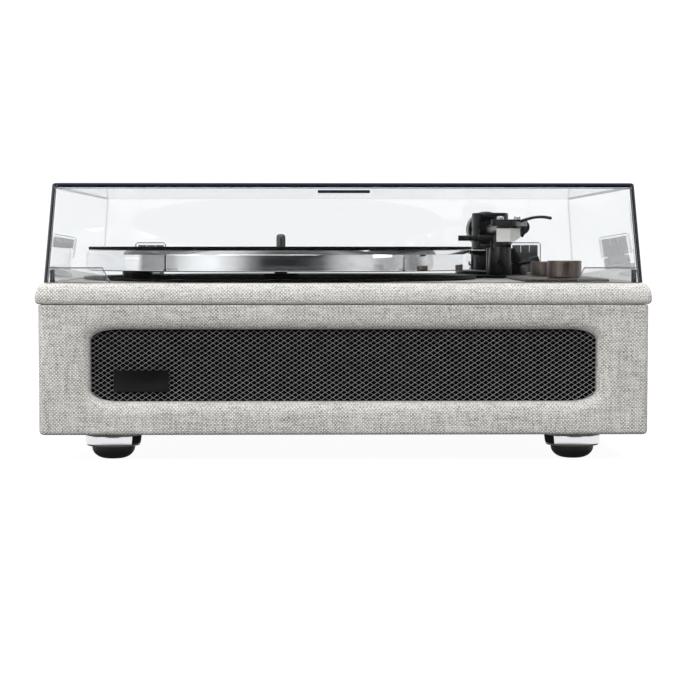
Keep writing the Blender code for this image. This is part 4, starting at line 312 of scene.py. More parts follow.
world = bpy.data.worlds.new("room")
bpy.context.scene.world = world
room = Tree(world)
east, north, up = room.parts(room.node("ShaderNodeTexCoord").outputs["Generated"])
turn = room.math("ARCTAN2", east, room.times(north, -1.0))
round_share = room.total(room.math("DIVIDE", turn, 2 * pi), 0.5)


def ring(stops):
    """Brightness round the room, through (heading, brightness) stops."""
    made = room.node("ShaderNodeValToRGB")
    marks = made.color_ramp.elements
    for degrees, brightness in stops[1:-1]:
        marks.new((degrees + 180) / 360)
    for mark, (degrees, brightness) in zip(marks, stops):
        mark.color = (brightness, brightness, brightness, 1.0)
    room.join(round_share, made.inputs["Fac"])
    return made.outputs["Color"]


def blend(share, low, high):
    """Between two brightnesses, by a share from 0 to 1."""
    rest = room.times(room.math("SUBTRACT", 1.0, share), low)
    return room.total(rest, room.times(share, high))


def above(limits):
    """A soft step from 0 to 1 as the view goes up past two limits."""
    return room.span(up, *limits, 0.0, 1.0, interpolation_type="SMOOTHSTEP")


light = blend(above(SCREEN_TOP), ring(SCREENS), ring(HIGH_SCREENS))
light = blend(above(CEILING), light, CEILING_LIGHT)
light = blend(above(FLOOR_NEAR), NEAR_LIGHT, light)
light = blend(above(FLOOR_FAR), FLOOR_LIGHT, light)
path = room.node("ShaderNodeLightPath").outputs
seen = room.math("LESS_THAN", room.math("SUBTRACT", path["Ray Depth"], path["Transmission Depth"]), 0.5)
room.join(blend(seen, light, ROOM_SHOWN), room.tree.nodes["Background"].inputs["Color"])
print("the room has", len(SCREENS), "steps of light round it")

# %% [markdown]
# ### Soft lights
#
# Four large soft lights do the lighting: a wide one above, one in front and a weak one at
# each side. Reflections leave them out, because the painted room already has their images.

# %% Hang the soft lights
LIGHT_TARGET = Vector((0.0, 0.0, 0.1))
LIGHTS = {
    "top_light": ((0.0, 0.0, 2.1), (3.0, 1.3), 42.0),
    "front_light": ((-0.3, -2.2, 1.55), (2.6, 0.8), 37.0),
    "left_light": ((-1.9, -1.2, 1.1), (0.8, 1.0), 9.0),
    "right_light": ((1.9, -1.1, 1.0), (0.5, 1.0), 5.0),
}
for name, (place, (width, height), watts) in LIGHTS.items():
    lamp = bpy.data.lights.new(name, "AREA")
    lamp.shape = "RECTANGLE"
    lamp.size, lamp.size_y, lamp.energy = width, height, watts
    light = bpy.data.objects.new(name, lamp)
    bpy.context.scene.collection.objects.link(light)
    light.location = place
    light.visible_glossy = False
    aim = LIGHT_TARGET - Vector(place)
    light.rotation_euler = aim.to_track_quat("-Z", "Y").to_euler()
bpy.context.scene.view_settings.view_transform = "Standard"
print("the room has", len(LIGHTS), "soft lights")

# %% [markdown]
# ## Finishes
#
# The Principled shader does most of the work: its roughness decides how sharp a reflection
# is, and its bump decides what the light catches. Noise and wave textures vary them at the
# size of the real threads, scratches and pores, so each material is recognisable up close
# and calm from afar.
#
# ### Woven cloth
#
# The cabinet and its lid are board wrapped in a coarse warm-grey weave. From a few steps
# away the single threads blur into light and dark flecks, because the yarn is uneven:
# some threads are paler, thicker or fuzzier than their neighbours. Two families of waves
# cross on each side of a box, and the surface's direction picks the two that run along
# it, so the cloth needs no unwrapping. A slow noise bends the rows a little. The colour
# is also painted paler where a thread comes up and darker in the gaps between: a painted
# highlight and painted shade over the yarn's own uneven tone.

# %% Weave the cloth
THREAD_PITCH = 1.22 * MM
THREAD_RUN = 11.0 * MM
THREAD_WANDER = 0.55 * MM
CLOTH_HEIGHT = 0.5 * MM
CLOTH_CLOUD = 60.0 * MM
OVER_UNDER = 0.50
# How strongly the crowns paint the colour: painted highlight on top, painted shade in the gaps.
CROWN_HIGHLIGHT_SHARE = 0.62
CROWN_POWER = 0.7
STREAK_SHARE = 0.28
LINT_SHARE = 0.42
CLOUD_SHARE = 0.08


def weave(name, lit_pale, mid, shaded_dark):
    """Uneven yarn with a crown where each thread comes up; crowns get painted highlight, gaps painted shade."""
    tree = new_finish(name, mid, 0.92)
    across, along = 1 / THREAD_PITCH, 1 / THREAD_RUN
    streaks = tree.total(
        tree.noise((along, across, across), 1.0),
        tree.noise((across, along, across), 1.0),
        tree.noise((across, across, along), 1.0),
    )
    lint = tree.noise((2.2 * across,) * 3, 3.0, 0.7)
    cloud = tree.noise((1 / CLOTH_CLOUD,) * 3, 1.0)

    squared = tree.node("ShaderNodeVectorMath", operation="MULTIPLY")
    outward = tree.node("ShaderNodeTexCoord").outputs["Normal"]
    tree.join(outward, squared.inputs[0])
    tree.join(outward, squared.inputs[1])
    facing = tree.parts(squared.outputs["Vector"])
    shift = tree.node("ShaderNodeVectorMath", operation="MULTIPLY_ADD")
    tree.join(tree.noise((0.35 * across,) * 3, output="Color"), shift.inputs[0])
    shift.inputs[1].default_value = (2 * pi * THREAD_WANDER / THREAD_PITCH,) * 3
    tree.join(tree.where((pi / THREAD_PITCH,) * 3), shift.inputs[2])
    waves = [tree.math("SINE", part) for part in tree.parts(shift.outputs["Vector"])]
    crowns = []
    for towards, first, second in ((1, 0, 2), (2, 0, 1), (0, 1, 2)):
        crossing = tree.times(waves[first], waves[second])
        crown = tree.math("POWER", tree.math("ABSOLUTE", crossing), CROWN_POWER)
        crown = tree.total(tree.times(crown, 1 - OVER_UNDER), tree.times(crossing, OVER_UNDER))
        crowns.append(tree.times(crown, facing[towards]))
    crowns = tree.total(*crowns)

    flecks = tree.total(
        tree.times(streaks, STREAK_SHARE), tree.times(lint, LINT_SHARE), tree.times(cloud, CLOUD_SHARE)
    )
    # Painted light: the crowns carry a painted highlight and the gaps painted shade, mixed with the yarn's own
    # light and dark flecks.
    share = tree.total(tree.times(crowns, CROWN_HIGHLIGHT_SHARE), tree.span(flecks, 0.48, 0.92, 0.0, 0.56))
    tree.paint(share, (0.02, shaded_dark), (0.40, mid), (0.85, lit_pale))
    tree.raise_by(tree.total(crowns, tree.times(flecks, 0.8)), CLOTH_HEIGHT, 0.7)
    tree.set(Sheen_Weight=0.2, Sheen_Roughness=0.5, Specular_IOR_Level=0.25)


weave("cabinet_cloth", (0.95, 0.935, 0.91), (0.64, 0.62, 0.59), (0.12, 0.115, 0.105))
weave("lid_cloth", (0.95, 0.935, 0.91), (0.66, 0.64, 0.61), (0.14, 0.135, 0.125))
print("two cloths are woven at a pitch of", THREAD_PITCH / MM, "mm")

# %% [markdown]
# ### Turned and brushed metal
#
# A lathe leaves rings on a platter and a brush leaves straight lines on a knob. Both are
# noise that is very fine in one direction and almost constant in the other. For the rings
# the fine direction is the distance from the platter's centre. The lines change both the
# roughness and the bump a little, which smears a highlight along one direction.

# %% Finish the metals
PLATTER_CENTRE = [(low + high) / 2 for low, high in zip(*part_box("platter"))]
LINE_PITCH = 0.35 * MM
LINE_HEIGHT = 0.004 * MM
RING_HEIGHT = 0.0005 * MM
FINE = 3200
COARSE = 60
LENGTHWISE = (FINE, COARSE, FINE)
UPRIGHT = (FINE, FINE, COARSE)


def brushed(name, colour, roughness, stretch, swing, height=LINE_HEIGHT):
    """Metal with straight fine lines: the stretch says how many there are a metre."""
    tree = new_finish(name, colour, roughness, 1.0)
    lines = tree.noise(stretch, 3.0, 0.6)
    tree.roughen(lines, roughness - swing, roughness + swing)
    tree.raise_by(lines, height)
    return tree


def turned(name, colour, roughness, centre, swing):
    """Metal with fine rings about an upright axis."""
    tree = new_finish(name, colour, roughness, 1.0)
    x, y, z = tree.parts(tree.where())
    x, y = tree.math("SUBTRACT", x, centre[0]), tree.math("SUBTRACT", y, centre[1])
    place = tree.node("ShaderNodeCombineXYZ")
    squares = tree.total(tree.times(x, x), tree.times(y, y))
    tree.join(tree.math("SQRT", squares), place.inputs["X"])
    tree.join(z, place.inputs["Z"])
    rings = tree.node("ShaderNodeTexNoise")
    rings.inputs["Scale"].default_value = 1 / LINE_PITCH
    rings.inputs["Detail"].default_value = 3.0
    tree.join(place.outputs["Vector"], rings.inputs["Vector"])
    tree.roughen(rings.outputs["Fac"], roughness - swing, roughness + swing)
    tree.raise_by(rings.outputs["Fac"], RING_HEIGHT)


turned("platter_aluminium", (0.86, 0.865, 0.875), 0.055, PLATTER_CENTRE, 0.015)
brushed("bronze", (0.060, 0.045, 0.038), 0.45, LENGTHWISE, 0.06).set(Metallic=0.4)
brushed("bronze_upright", (0.155, 0.127, 0.113), 0.30, UPRIGHT, 0.04, 0.3 * LINE_HEIGHT)
brushed("arm_tube", (0.24, 0.24, 0.25), 0.34, LENGTHWISE, 0.05)
brushed("steel", (0.62, 0.62, 0.63), 0.24, UPRIGHT, 0.06)
# The spindle's steel is darkened: the dark room it reflects is painted into its colour.
brushed("spindle_steel_painted_dark", (0.15, 0.145, 0.14), 0.22, UPRIGHT, 0.06)
brushed("brass", (0.72, 0.55, 0.26), 0.22, UPRIGHT, 0.06)
brushed("chrome", (0.80, 0.80, 0.82), 0.06, (COARSE,) * 3, 0.02)
print("eight metals are finished")

# %% [markdown]
# ### Paint, plastic and rubber
#
# These all have one colour and differ in how smooth they are. Moulded plastic has a fine
# grain from its mould, rubber is duller and coarser, and satin paint has a slight ripple.
# One helper makes them all from a colour, a roughness, and the size and height of the
# grain. The roughness also wanders a little, as it does where hands have touched.

# %% Finish the paints, plastics and rubbers
def grained(name, colour, roughness, grain, height, wander=0.05, **sockets):
    """One colour over a fine grain, whose size and height are in millimetres."""
    tree = new_finish(name, colour, roughness, **sockets)
    cloud = tree.noise((1 / (40 * (grain * MM)),) * 3)
    tree.roughen(cloud, roughness - wander, roughness + wander)
    tree.raise_by(tree.noise((1 / (grain * MM),) * 3, 3.0), height * MM)
    shade = [channel * 0.72 for channel in colour]
    tree.paint(cloud, (0.25, shade), (0.75, colour))


grained("deck_gloss", (0.004, 0.004, 0.005), 0.42, 1.0, 0.002, 0.03, Specular_IOR_Level=0.12)
grained("arm_black", (0.008, 0.008, 0.009), 0.30, 0.3, 0.006, Specular_IOR_Level=0.34)
grained("black_plastic", (0.020, 0.020, 0.022), 0.45, 0.5, 0.02)
grained("rocker", (0.018, 0.018, 0.020), 0.30, 0.5, 0.01)
grained("hinge_plastic", (0.035, 0.038, 0.048), 0.38, 0.5, 0.015)
grained("cartridge_cream", (0.98, 0.95, 0.92), 0.38, 0.4, 0.01)
grained("mat_rubber", (0.006, 0.006, 0.006), 0.75, 0.6, 0.02, Specular_IOR_Level=0.15)
grained("foot_rubber", (0.016, 0.016, 0.016), 0.55, 0.6, 0.03)
grained("belt_rubber", (0.02, 0.02, 0.02), 0.60, 0.6, 0.02)
grained("grille_metal", (0.36, 0.36, 0.37), 0.30, 0.3, 0.01, Coat_Weight=0.4)
grained("badge", (0.006, 0.006, 0.006), 0.30, 0.8, 0.002, 0.04, Specular_IOR_Level=0.25)
grained("speaker", (0.003, 0.003, 0.003), 0.9, 0.8, 0.08, Specular_IOR_Level=0.1)
grained("baffle_board", (0.002, 0.002, 0.002), 0.9, 2.0, 0.10, Specular_IOR_Level=0.1)
grained("circuit", (0.015, 0.12, 0.05), 0.40, 1.0, 0.02)
grained("post_grey", (0.13, 0.13, 0.13), 0.42, 0.4, 0.01)
grained("ring_red", (0.42, 0.02, 0.02), 0.35, 0.5, 0.008)
grained("ring_white", (0.70, 0.69, 0.66), 0.35, 0.5, 0.008)
print("paints, plastics and rubbers:", len(finishes), "finishes so far")

# %% [markdown]
# ### Clear acrylic
#
# The dust cover is clear plastic. Light that enters its edges runs along inside the sheet
# and leaves it darker and bluish, so a real cover looks like thin dark lines around panes
# that hardly show. A pane is glass with almost no tint. The rounded edges get a painted
# shade: a second, deeper tint, because a path tracer would need very many bounces to find
# that darkness. A paler grey copy of it paints the same shade on edges seen behind the front
# pane, and a grey tint paints the thin lines that the edges of the pads and sockets show.
# The hinge sockets bend light less, so their pockets stay clear, and the corner pads are
# a thin veil.

# %% Finish the clear pieces
ACRYLIC_IOR = 1.49


def clear(name, tint, roughness, **sockets):
    """A see-through plastic with a faint haze."""
    tree = new_finish(name, tint, roughness, Transmission_Weight=1.0, IOR=ACRYLIC_IOR)
    tree.set(**sockets)
    tree.roughen(tree.noise((30, 30, 30)), roughness, roughness + 0.02)


clear("clear_acrylic", (0.97, 0.98, 0.985), 0.0)
# Painted shade: the dark tint on the cover's edges, and a paler grey copy for edges seen behind the front pane.
clear("clear_edge_painted_dark", (0.012, 0.018, 0.040), 0.10, Transmission_Weight=0.25)
clear("clear_edge_painted_grey", (0.42, 0.44, 0.50), 0.03)
clear("clear_socket", (0.95, 0.965, 0.98), 0.0, IOR=1.06)
# A grey tint that paints the thin lines along the edges of the pads and sockets.
clear("clear_line_painted_grey", (0.42, 0.44, 0.50), 0.05, Transmission_Weight=0.45, IOR=1.2)
grained("clear_block", (0.90, 0.91, 0.92), 0.12, 2.0, 0.002, Alpha=0.10)
print(len(finishes), "finishes in all")

# %% [markdown]
# ## Shapes
#
# Most pieces of a record player come from four moves: a profile turned about an axis, an
# outline made into a plate, rings joined into a skin, and a solid cut by another. Each
# move is one function here. Small bevels come last: no real edge is perfectly sharp, and
# a bevel of a few tenths of a millimetre catches the light that shows where an edge is.

# %% Turn, plate, join and cut
TURN_STEPS = 96
OVERRUN = 1.0 * MM
AIMS = {
    "+Z": Matrix.Identity(4),
    "+X": Matrix.Rotation(pi / 2, 4, "Y"),
    "+Y": Matrix.Rotation(-pi / 2, 4, "X"),
    "-Y": Matrix.Rotation(pi / 2, 4, "X"),
}


def faced(shape):
    bmesh.ops.recalc_face_normals(shape, faces=shape.faces)
    return shape


def turned_shape(profile, steps=TURN_STEPS, closed=False):
    """Turn (radius, height) points about the Z axis. A closed profile leaves a bore."""
    shape = bmesh.new()
    points = [shape.verts.new((radius, 0, height)) for radius, height in profile]
    pairs = list(zip(points, points[1:])) + ([(points[-1], points[0])] if closed else [])
    edges = [shape.edges.new(pair) for pair in pairs]
    bmesh.ops.spin(
        shape,
        geom=points + edges,
        cent=(0, 0, 0),
        axis=(0, 0, 1),
        angle=2 * pi,
        steps=steps,
        use_merge=True,
    )
    bmesh.ops.remove_doubles(shape, verts=shape.verts, dist=0.001 * MM)
    return faced(shape)


def rod(radius, low, high, steps=32):
    """A plain round bar, for cutting holes."""
    return turned_shape([(0, low), (radius, low), (radius, high), (0, high)], steps)


def arc_points(x, y, radius, start, end, steps):
    """Points on an arc, from one angle to another."""
    turns = [start + (end - start) * i / steps for i in range(steps + 1)]
    return [(x + radius * cos(a), y + radius * sin(a)) for a in turns]


def rounded_box(width, height, corner_x, corner_y=None, steps=10):
    """The outline of a rectangle whose corners are quarters of an ellipse."""
    corner_y = corner_x if corner_y is None else corner_y
    points = []
    for turn, (side_x, side_y) in enumerate(((1, 1), (-1, 1), (-1, -1), (1, -1))):
        x = side_x * (width / 2 - corner_x)
        y = side_y * (height / 2 - corner_y)
        for i in range(steps + 1):
            angle = pi / 2 * (turn + i / steps)
            points.append((x + corner_x * cos(angle), y + corner_y * sin(angle)))
    return points


def skin_shape(rings):
    """Rings of the same number of points joined into a closed skin."""
    shape = bmesh.new()
    rows = [[shape.verts.new(point) for point in ring] for ring in rings]
    for low, high in zip(rows, rows[1:]):
        for i in range(len(low)):
            j = (i + 1) % len(low)
            shape.faces.new((low[i], low[j], high[j], high[i]))
    shape.faces.new(rows[0][::-1])
    shape.faces.new(rows[-1])
    return faced(shape)


def plate_shape(outline, bottom, top):
    """An outline in X and Y made into a plate."""
    return skin_shape([[(x, y, height) for x, y in outline] for height in (bottom, top)])


def box_shape(low, high):
    shape = bmesh.new()
    bmesh.ops.create_cube(shape, size=1.0)
    bmesh.ops.scale(shape, verts=shape.verts, vec=[b - a for a, b in zip(low, high)])
    return moved(shape, Matrix.Translation([(a + b) / 2 for a, b in zip(low, high)]))


def moved(shape, matrix):
    bmesh.ops.transform(shape, verts=shape.verts, matrix=matrix)
    return shape


def aimed(shape, aim, place=(0, 0, 0)):
    """Lay a shape made along +Z along another axis, and put it in place."""
    return moved(shape, Matrix.Translation(place) @ AIMS[aim])


def merged(shapes):
    """Several shapes as one mesh of loose parts."""
    whole = bmesh.new()
    for shape in shapes:
        part = bpy.data.meshes.new("part")
        shape.to_mesh(part)
        shape.free()
        whole.from_mesh(part)
        bpy.data.meshes.remove(part)
    return whole


def bake(piece):
    """Write a piece's modifiers into its mesh."""
    graph = bpy.context.evaluated_depsgraph_get()
    solid = bpy.data.meshes.new_from_object(piece.evaluated_get(graph))
    piece.modifiers.clear()
    old, piece.data = piece.data, solid
    solid.name = piece.name
    if old.users == 0:
        bpy.data.meshes.remove(old)


def carve(piece, cutter, operation="DIFFERENCE"):
    """Cut a shape out of a piece, or join it on."""
    tool = mesh_object("tool", cutter)
    change = piece.modifiers.new("carve", "BOOLEAN")
    change.operation = operation
    change.solver = "EXACT"
    change.object = tool
    bake(piece)
    bpy.data.objects.remove(tool)


def soften(piece, width, steps=2, angle=35):
    """Bevel the sharp edges of a piece: the width is in millimetres."""
    bevel = piece.modifiers.new("bevel", "BEVEL")
    bevel.width = width * MM
    bevel.segments = steps
    bevel.limit_method = "ANGLE"
    bevel.angle_limit = radians(angle)
    bevel.use_clamp_overlap = True
    bevel.harden_normals = False
    bake(piece)


def dress(piece, finish, body, *replaced, smooth=35, slot=None):
    """Give a finished piece its finish, its body and the CAD pieces that it stands for."""
    piece.data.materials.clear()
    piece.data.materials.append(finishes[finish])
    piece.data.shade_smooth()
    piece.data.set_sharp_from_angle(angle=radians(smooth))
    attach(piece, body)
    if replaced:
        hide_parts(*replaced)


print("the shape kit is ready")

# %% [markdown]
# ## Which body carries what
#
# Every piece has to ride on the body that moves it, or it would stay behind when the cover
# opens or the platter turns. The CAD model's own record already says which body each of
# its pieces belongs to, so the pieces here look it up by the CAD piece they stand for.
# Joints give the axes: the tonearm is drawn in a frame of its own, whose origin is its
# pivot and whose tube runs along -Y, and is then turned to where the arm is parked.

# %% Look up bodies and axes
BODY_OF = {
    node: body
    for body, members in frame["record"]["behaviour"]["bodies"].items()
    for node in members
}
JOINTS = {joint["name"]: joint for joint in frame["joints"]}
JOINT_AT = {name: Vector(joint["pos_m"]) for name, joint in JOINTS.items() if "pos_m" in joint}
ARM_PIVOT = JOINT_AT["arm_swing"]
LIFT_AXIS = Vector(JOINTS["arm_lift"]["axis"])
ARM_YAW = atan2(-LIFT_AXIS.y, -LIFT_AXIS.x)
ARM_FRAME = Matrix.Translation(ARM_PIVOT) @ Matrix.Rotation(ARM_YAW, 4, "Z")


def standing_for(shape, name, finish, node, smooth=35, slot=None):
    """A new piece in the place of a CAD piece, riding on the same body."""
    piece = mesh_object(name, shape)
    dress(piece, finish, BODY_OF[node], node, smooth=smooth, slot=slot)
    return piece


def softened(node, finish, width, steps=2, slot=None):
    """A copy of a CAD piece with its edges bevelled, which stands for it."""
    shape = bmesh.new()
    shape.from_mesh(nodes[node].data)
    bmesh.ops.remove_doubles(shape, verts=shape.verts, dist=0.002 * MM)
    bmesh.ops.dissolve_limit(
        shape,
        angle_limit=radians(0.6),
        use_dissolve_boundaries=False,
        verts=shape.verts,
        edges=shape.edges,
    )
    piece = mesh_object(f"{node}_soft", shape)
    soften(piece, width, steps)
    dress(piece, finish, BODY_OF[node], node, slot=slot)
    return piece


def keep(node, finish):
    """A CAD piece whose shape is right stays, with a new finish."""
    nodes[node].data.materials.clear()
    nodes[node].data.materials.append(finishes[finish])


def middle_of(node):
    low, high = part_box(node)
    return (low + high) / 2


print("the arm is parked at", round(ARM_YAW * 180 / pi, 2), "degrees")

# %% [markdown]
# ## Cabinet and lid
#
# The cabinet is a board box wrapped in cloth. Cloth pulled round a board edge rounds it
# off, so no corner is sharp, and round the speaker opening the cloth rolls inwards over a
# padded edge. Rings joined into a skin give the box, and a second skin in the shape of the
# opening and its roll is cut out of it. A bay in the back wall is for the back panel.

# %% Wrap the cabinet
CABINET_LOW, CABINET_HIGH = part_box("cabinet_shell")
CABINET_WIDTH = CABINET_HIGH.x - CABINET_LOW.x
CABINET_DEPTH = CABINET_HIGH.y - CABINET_LOW.y
CABINET_WALL = 12.0 * MM
CABINET_CORNER = 4.0 * MM
CABINET_ROUNDING = 3.0 * MM
OPENING_WIDTH = 350.0 * MM
OPENING_HEIGHT = 50.0 * MM
OPENING_Z = 67.7 * MM
OPENING_CORNER = (19.0 * MM, 8.0 * MM)
ROLL_WIDTH = 9.0 * MM
ROLL_DEPTH = 6.5 * MM
BAY_SIZE = (140.0 * MM, 44.0 * MM, 5.0 * MM)


def flat_ring(width, depth, corner, height, middle_y=0.0, steps=10):
    return [(x, middle_y + y, height) for x, y in rounded_box(width, depth, corner, steps=steps)]


def cabinet_ring(inset, height):
    corner = CABINET_CORNER - inset
    return flat_ring(CABINET_WIDTH - 2 * inset, CABINET_DEPTH - 2 * inset, corner, height)


def standing_ring(grow, y):
    """The speaker opening's outline, grown by a margin, standing at one depth."""
    width, height = OPENING_WIDTH + 2 * grow, OPENING_HEIGHT + 2 * grow
    corner_x, corner_z = OPENING_CORNER
    outline = rounded_box(width, height, corner_x + grow, corner_z + grow, 12)
    return [(x, y, OPENING_Z + z) for x, z in outline]


rings = []
for angle in quarter(6):
    height = CABINET_LOW.z + CABINET_ROUNDING * (1 - cos(angle))
    rings.append(cabinet_ring(CABINET_ROUNDING * (1 - sin(angle)), height))
for angle in quarter(4):
    height = CABINET_HIGH.z - CABINET_ROUNDING / 2 * (1 - sin(angle))
    rings.append(cabinet_ring(CABINET_ROUNDING / 2 * (1 - cos(angle)), height))
cabinet = mesh_object("cabinet_cloth_shell", skin_shape(rings))
x, y = CABINET_WIDTH / 2 - CABINET_WALL, CABINET_DEPTH / 2 - CABINET_WALL
floor = CABINET_LOW.z + CABINET_WALL
carve(cabinet, box_shape((-x, -y, floor), (x, y, CABINET_HIGH.z + OVERRUN)))
front = CABINET_LOW.y
roll = [standing_ring(ROLL_WIDTH, front - OVERRUN)]
for angle in quarter(10):
    y = front + ROLL_DEPTH * (1 - cos(angle))
    roll.append(standing_ring(ROLL_WIDTH * (1 - sin(angle)), y))
roll.append(standing_ring(0, front + CABINET_WALL + OVERRUN))
carve(cabinet, skin_shape(roll))
back = CABINET_HIGH.y
bay = plate_shape(rounded_box(*BAY_SIZE), back - 2 * CABINET_WALL, back + OVERRUN)
carve(cabinet, aimed(bay, "+Y", (0, 0, OPENING_Z)))
dress(cabinet, "cabinet_cloth", "root", "cabinet_shell")
print("the cabinet has", len(cabinet.data.polygons), "faces")

# %% [markdown]
# The lid is a slab whose edge is a nose, fuller above than below. Its rings grow and shrink
# again like half a circle. Four shafts pass through it: the platter's bearing, the motor's
# pulley and the two controls.

# %% Wrap the lid
LID_LOW, LID_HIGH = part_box("lid_slab")
LID_RISE = 3.5 * MM
LID_NOSE_ABOVE = 5.5 * MM
LID_NOSE_BELOW = 2.2 * MM
LID_CORNER = 3.0 * MM
LID_STEPS = 20
LID_HOLES = {"pulley_spin": 11.65 * MM, "volume_turn": 4.9 * MM, "selector_turn": 4.9 * MM}
BEARING_HOLE = 8.3 * MM
widest = LID_LOW.z + LID_RISE
rings = []
for i in range(LID_STEPS + 1):
    angle = pi * i / LID_STEPS - pi / 2
    inset = (LID_NOSE_ABOVE if angle > 0 else LID_NOSE_BELOW) * (1 - cos(angle))
    width = LID_HIGH.x - LID_LOW.x - 2 * inset
    depth = LID_HIGH.y - LID_LOW.y - 2 * inset
    height = widest + (LID_HIGH.z - widest if angle > 0 else LID_RISE) * sin(angle)
    rings.append(flat_ring(width, depth, LID_CORNER, height))
lid = mesh_object("lid_cloth_slab", skin_shape(rings))
holes = [(PLATTER_CENTRE, BEARING_HOLE)]
holes += [(JOINT_AT[joint], radius) for joint, radius in LID_HOLES.items()]
for place, radius in holes:
    hole = rod(radius, LID_LOW.z - OVERRUN, LID_HIGH.z + OVERRUN)
    carve(lid, aimed(hole, "+Z", (place[0], place[1], 0)))
dress(lid, "lid_cloth", "root", "lid_slab")
print("the lid has", len(lid.data.polygons), "faces")

# %% [markdown]
# ## Grille and badge
#
# The grille is expanded steel: a sheet is slit in staggered rows and pulled, so each slit
# opens into a diamond and the strands between them twist. A photograph of it shows a thin
# bright line on the upper side of each strand. Here one knot is drawn as a short bar with
# four strands that lean, and it is repeated over the opening; what falls outside the
# outline is left out.

# %% Draw the expanded steel
GRILLE_LOW, GRILLE_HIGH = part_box("speaker_grille")
DIAMOND_WIDTH = 5.17 * MM
DIAMOND_HEIGHT = 3.43 * MM
STRAND_WIDTH = 0.34 * MM
STRAND_DEPTH = 0.6 * MM
STRAND_LEAN = 0.12 * MM
KNOT_WIDTH = 0.9 * MM
KNOT_HEIGHT = 0.55 * MM
KNOT_LEAN = 1.6

half_width = (GRILLE_HIGH.x - GRILLE_LOW.x) / 2
half_height = (GRILLE_HIGH.z - GRILLE_LOW.z) / 2
depth = min(STRAND_DEPTH, GRILLE_HIGH.y - GRILLE_LOW.y)


def inside_opening(x, z, margin):
    """True where a point lies inside the grille's outline, with its rounded corners."""
    corner_x, corner_z = OPENING_CORNER
    reach_x = (abs(x) - (half_width - margin - corner_x)) / corner_x
    reach_z = (abs(z) - (half_height - margin - corner_z)) / corner_z
    if reach_x > 1 or reach_z > 1:
        return False
    return reach_x <= 0 or reach_z <= 0 or reach_x**2 + reach_z**2 <= 1


def strand(shape, start, end, lean, width=STRAND_WIDTH):
    """One leaning bar of the mesh from knot to knot, with a rhombus for its section."""
    direction = Vector((end[0] - start[0], end[1] - start[1]))
    side = Vector((-direction.y, direction.x)).normalized() * width / 2
    if side.y < 0:
        side = -side
    y, tilt = GRILLE_LOW.y, STRAND_LEAN * lean
    ends = []
    for x, z in (start, end):
        rhombus = (
            (x + side.x, y + depth * 0.4, z + side.y),
            (x, y, z - tilt),
            (x - side.x, y + depth * 0.6, z - side.y),
            (x, y + depth, z + tilt),
        )
        ends.append([shape.verts.new(point) for point in rhombus])
    for i in range(4):
        j = (i + 1) % 4
        shape.faces.new((ends[0][i], ends[0][j], ends[1][j], ends[1][i]))
    shape.faces.new(ends[0][::-1])
    shape.faces.new(ends[1])


steel = bmesh.new()
columns = int(2 * half_width / DIAMOND_WIDTH) + 1
rows = int(2 * half_height / DIAMOND_HEIGHT) + 1
half_knot = KNOT_WIDTH / 2
for row in range(-rows, rows + 1):
    for column in range(-columns, columns + 1):
        x = (column + (row % 2) / 2) * DIAMOND_WIDTH
        z = row * DIAMOND_HEIGHT / 2
        if not inside_opening(x, z, STRAND_WIDTH):
            continue
        for side in (-1, 1):
            for rise in (-1, 1):
                far = (x + side * DIAMOND_WIDTH / 4, z + rise * DIAMOND_HEIGHT / 4)
                if inside_opening(*far, STRAND_WIDTH / 2):
                    strand(steel, (x + side * half_knot / 2, z), far, side * rise)
        strand(steel, (x - half_knot, z), (x + half_knot, z), KNOT_LEAN, KNOT_HEIGHT)
moved(steel, Matrix.Translation((0, 0, middle_of("speaker_grille").z)))
grille = standing_for(steel, "grille_mesh", "grille_metal", "speaker_grille", smooth=20)
print("the grille has", len(grille.data.polygons), "faces")

# %% [markdown]
# The badge is a bare plate with a bevelled edge. In the photograph it sits a little higher
# on the mesh than in the CAD model, so it is raised here. The board and the speakers behind
# the mesh are almost black, and hardly show.

# %% Bevel the badge and finish the boards behind
BADGE_RISE = 1.6 * MM
badge = softened("badge_plate", "badge", 0.3, 3)
badge.data.transform(Matrix.Translation((0, 0, BADGE_RISE)))
softened("speaker_baffle", "baffle_board", 0.35)
for node, finish in (
    ("speaker_left", "speaker"),
    ("speaker_right", "speaker"),
    ("amplifier_board", "circuit"),
):
    keep(node, finish)
print("the badge is bare")

# %% [markdown]
# ## Platter, mat and spindle
#
# The platter is a heavy aluminium casting that is turned on a lathe after casting, which
# leaves the fine rings and the bright chamfer round its top edge. Underneath are a skirt,
# a ring for the belt and a hub. The corners of the chamfer are broken by a tenth of a
# millimetre, which draws a thin bright line along each.

# %% Turn the platter
PLATTER_RADIUS = 150.0 * MM
PLATTER_STEPS = 288
PLATTER_HUB = 14.0 * MM
CHAMFER_WIDTH = 1.9 * MM
CHAMFER_HEIGHT = 3.1 * MM
SKIRT_RADIUS = 138.0 * MM
DISC_THICKNESS = 6.0 * MM
LOWER_BEVEL = 0.6 * MM
BORE_RADIUS = 3.875 * MM
BELT_RING = (86.0 * MM, 90.0 * MM)
BELT_RING_LIFT = 1.5 * MM
BREAK = 0.12 * MM

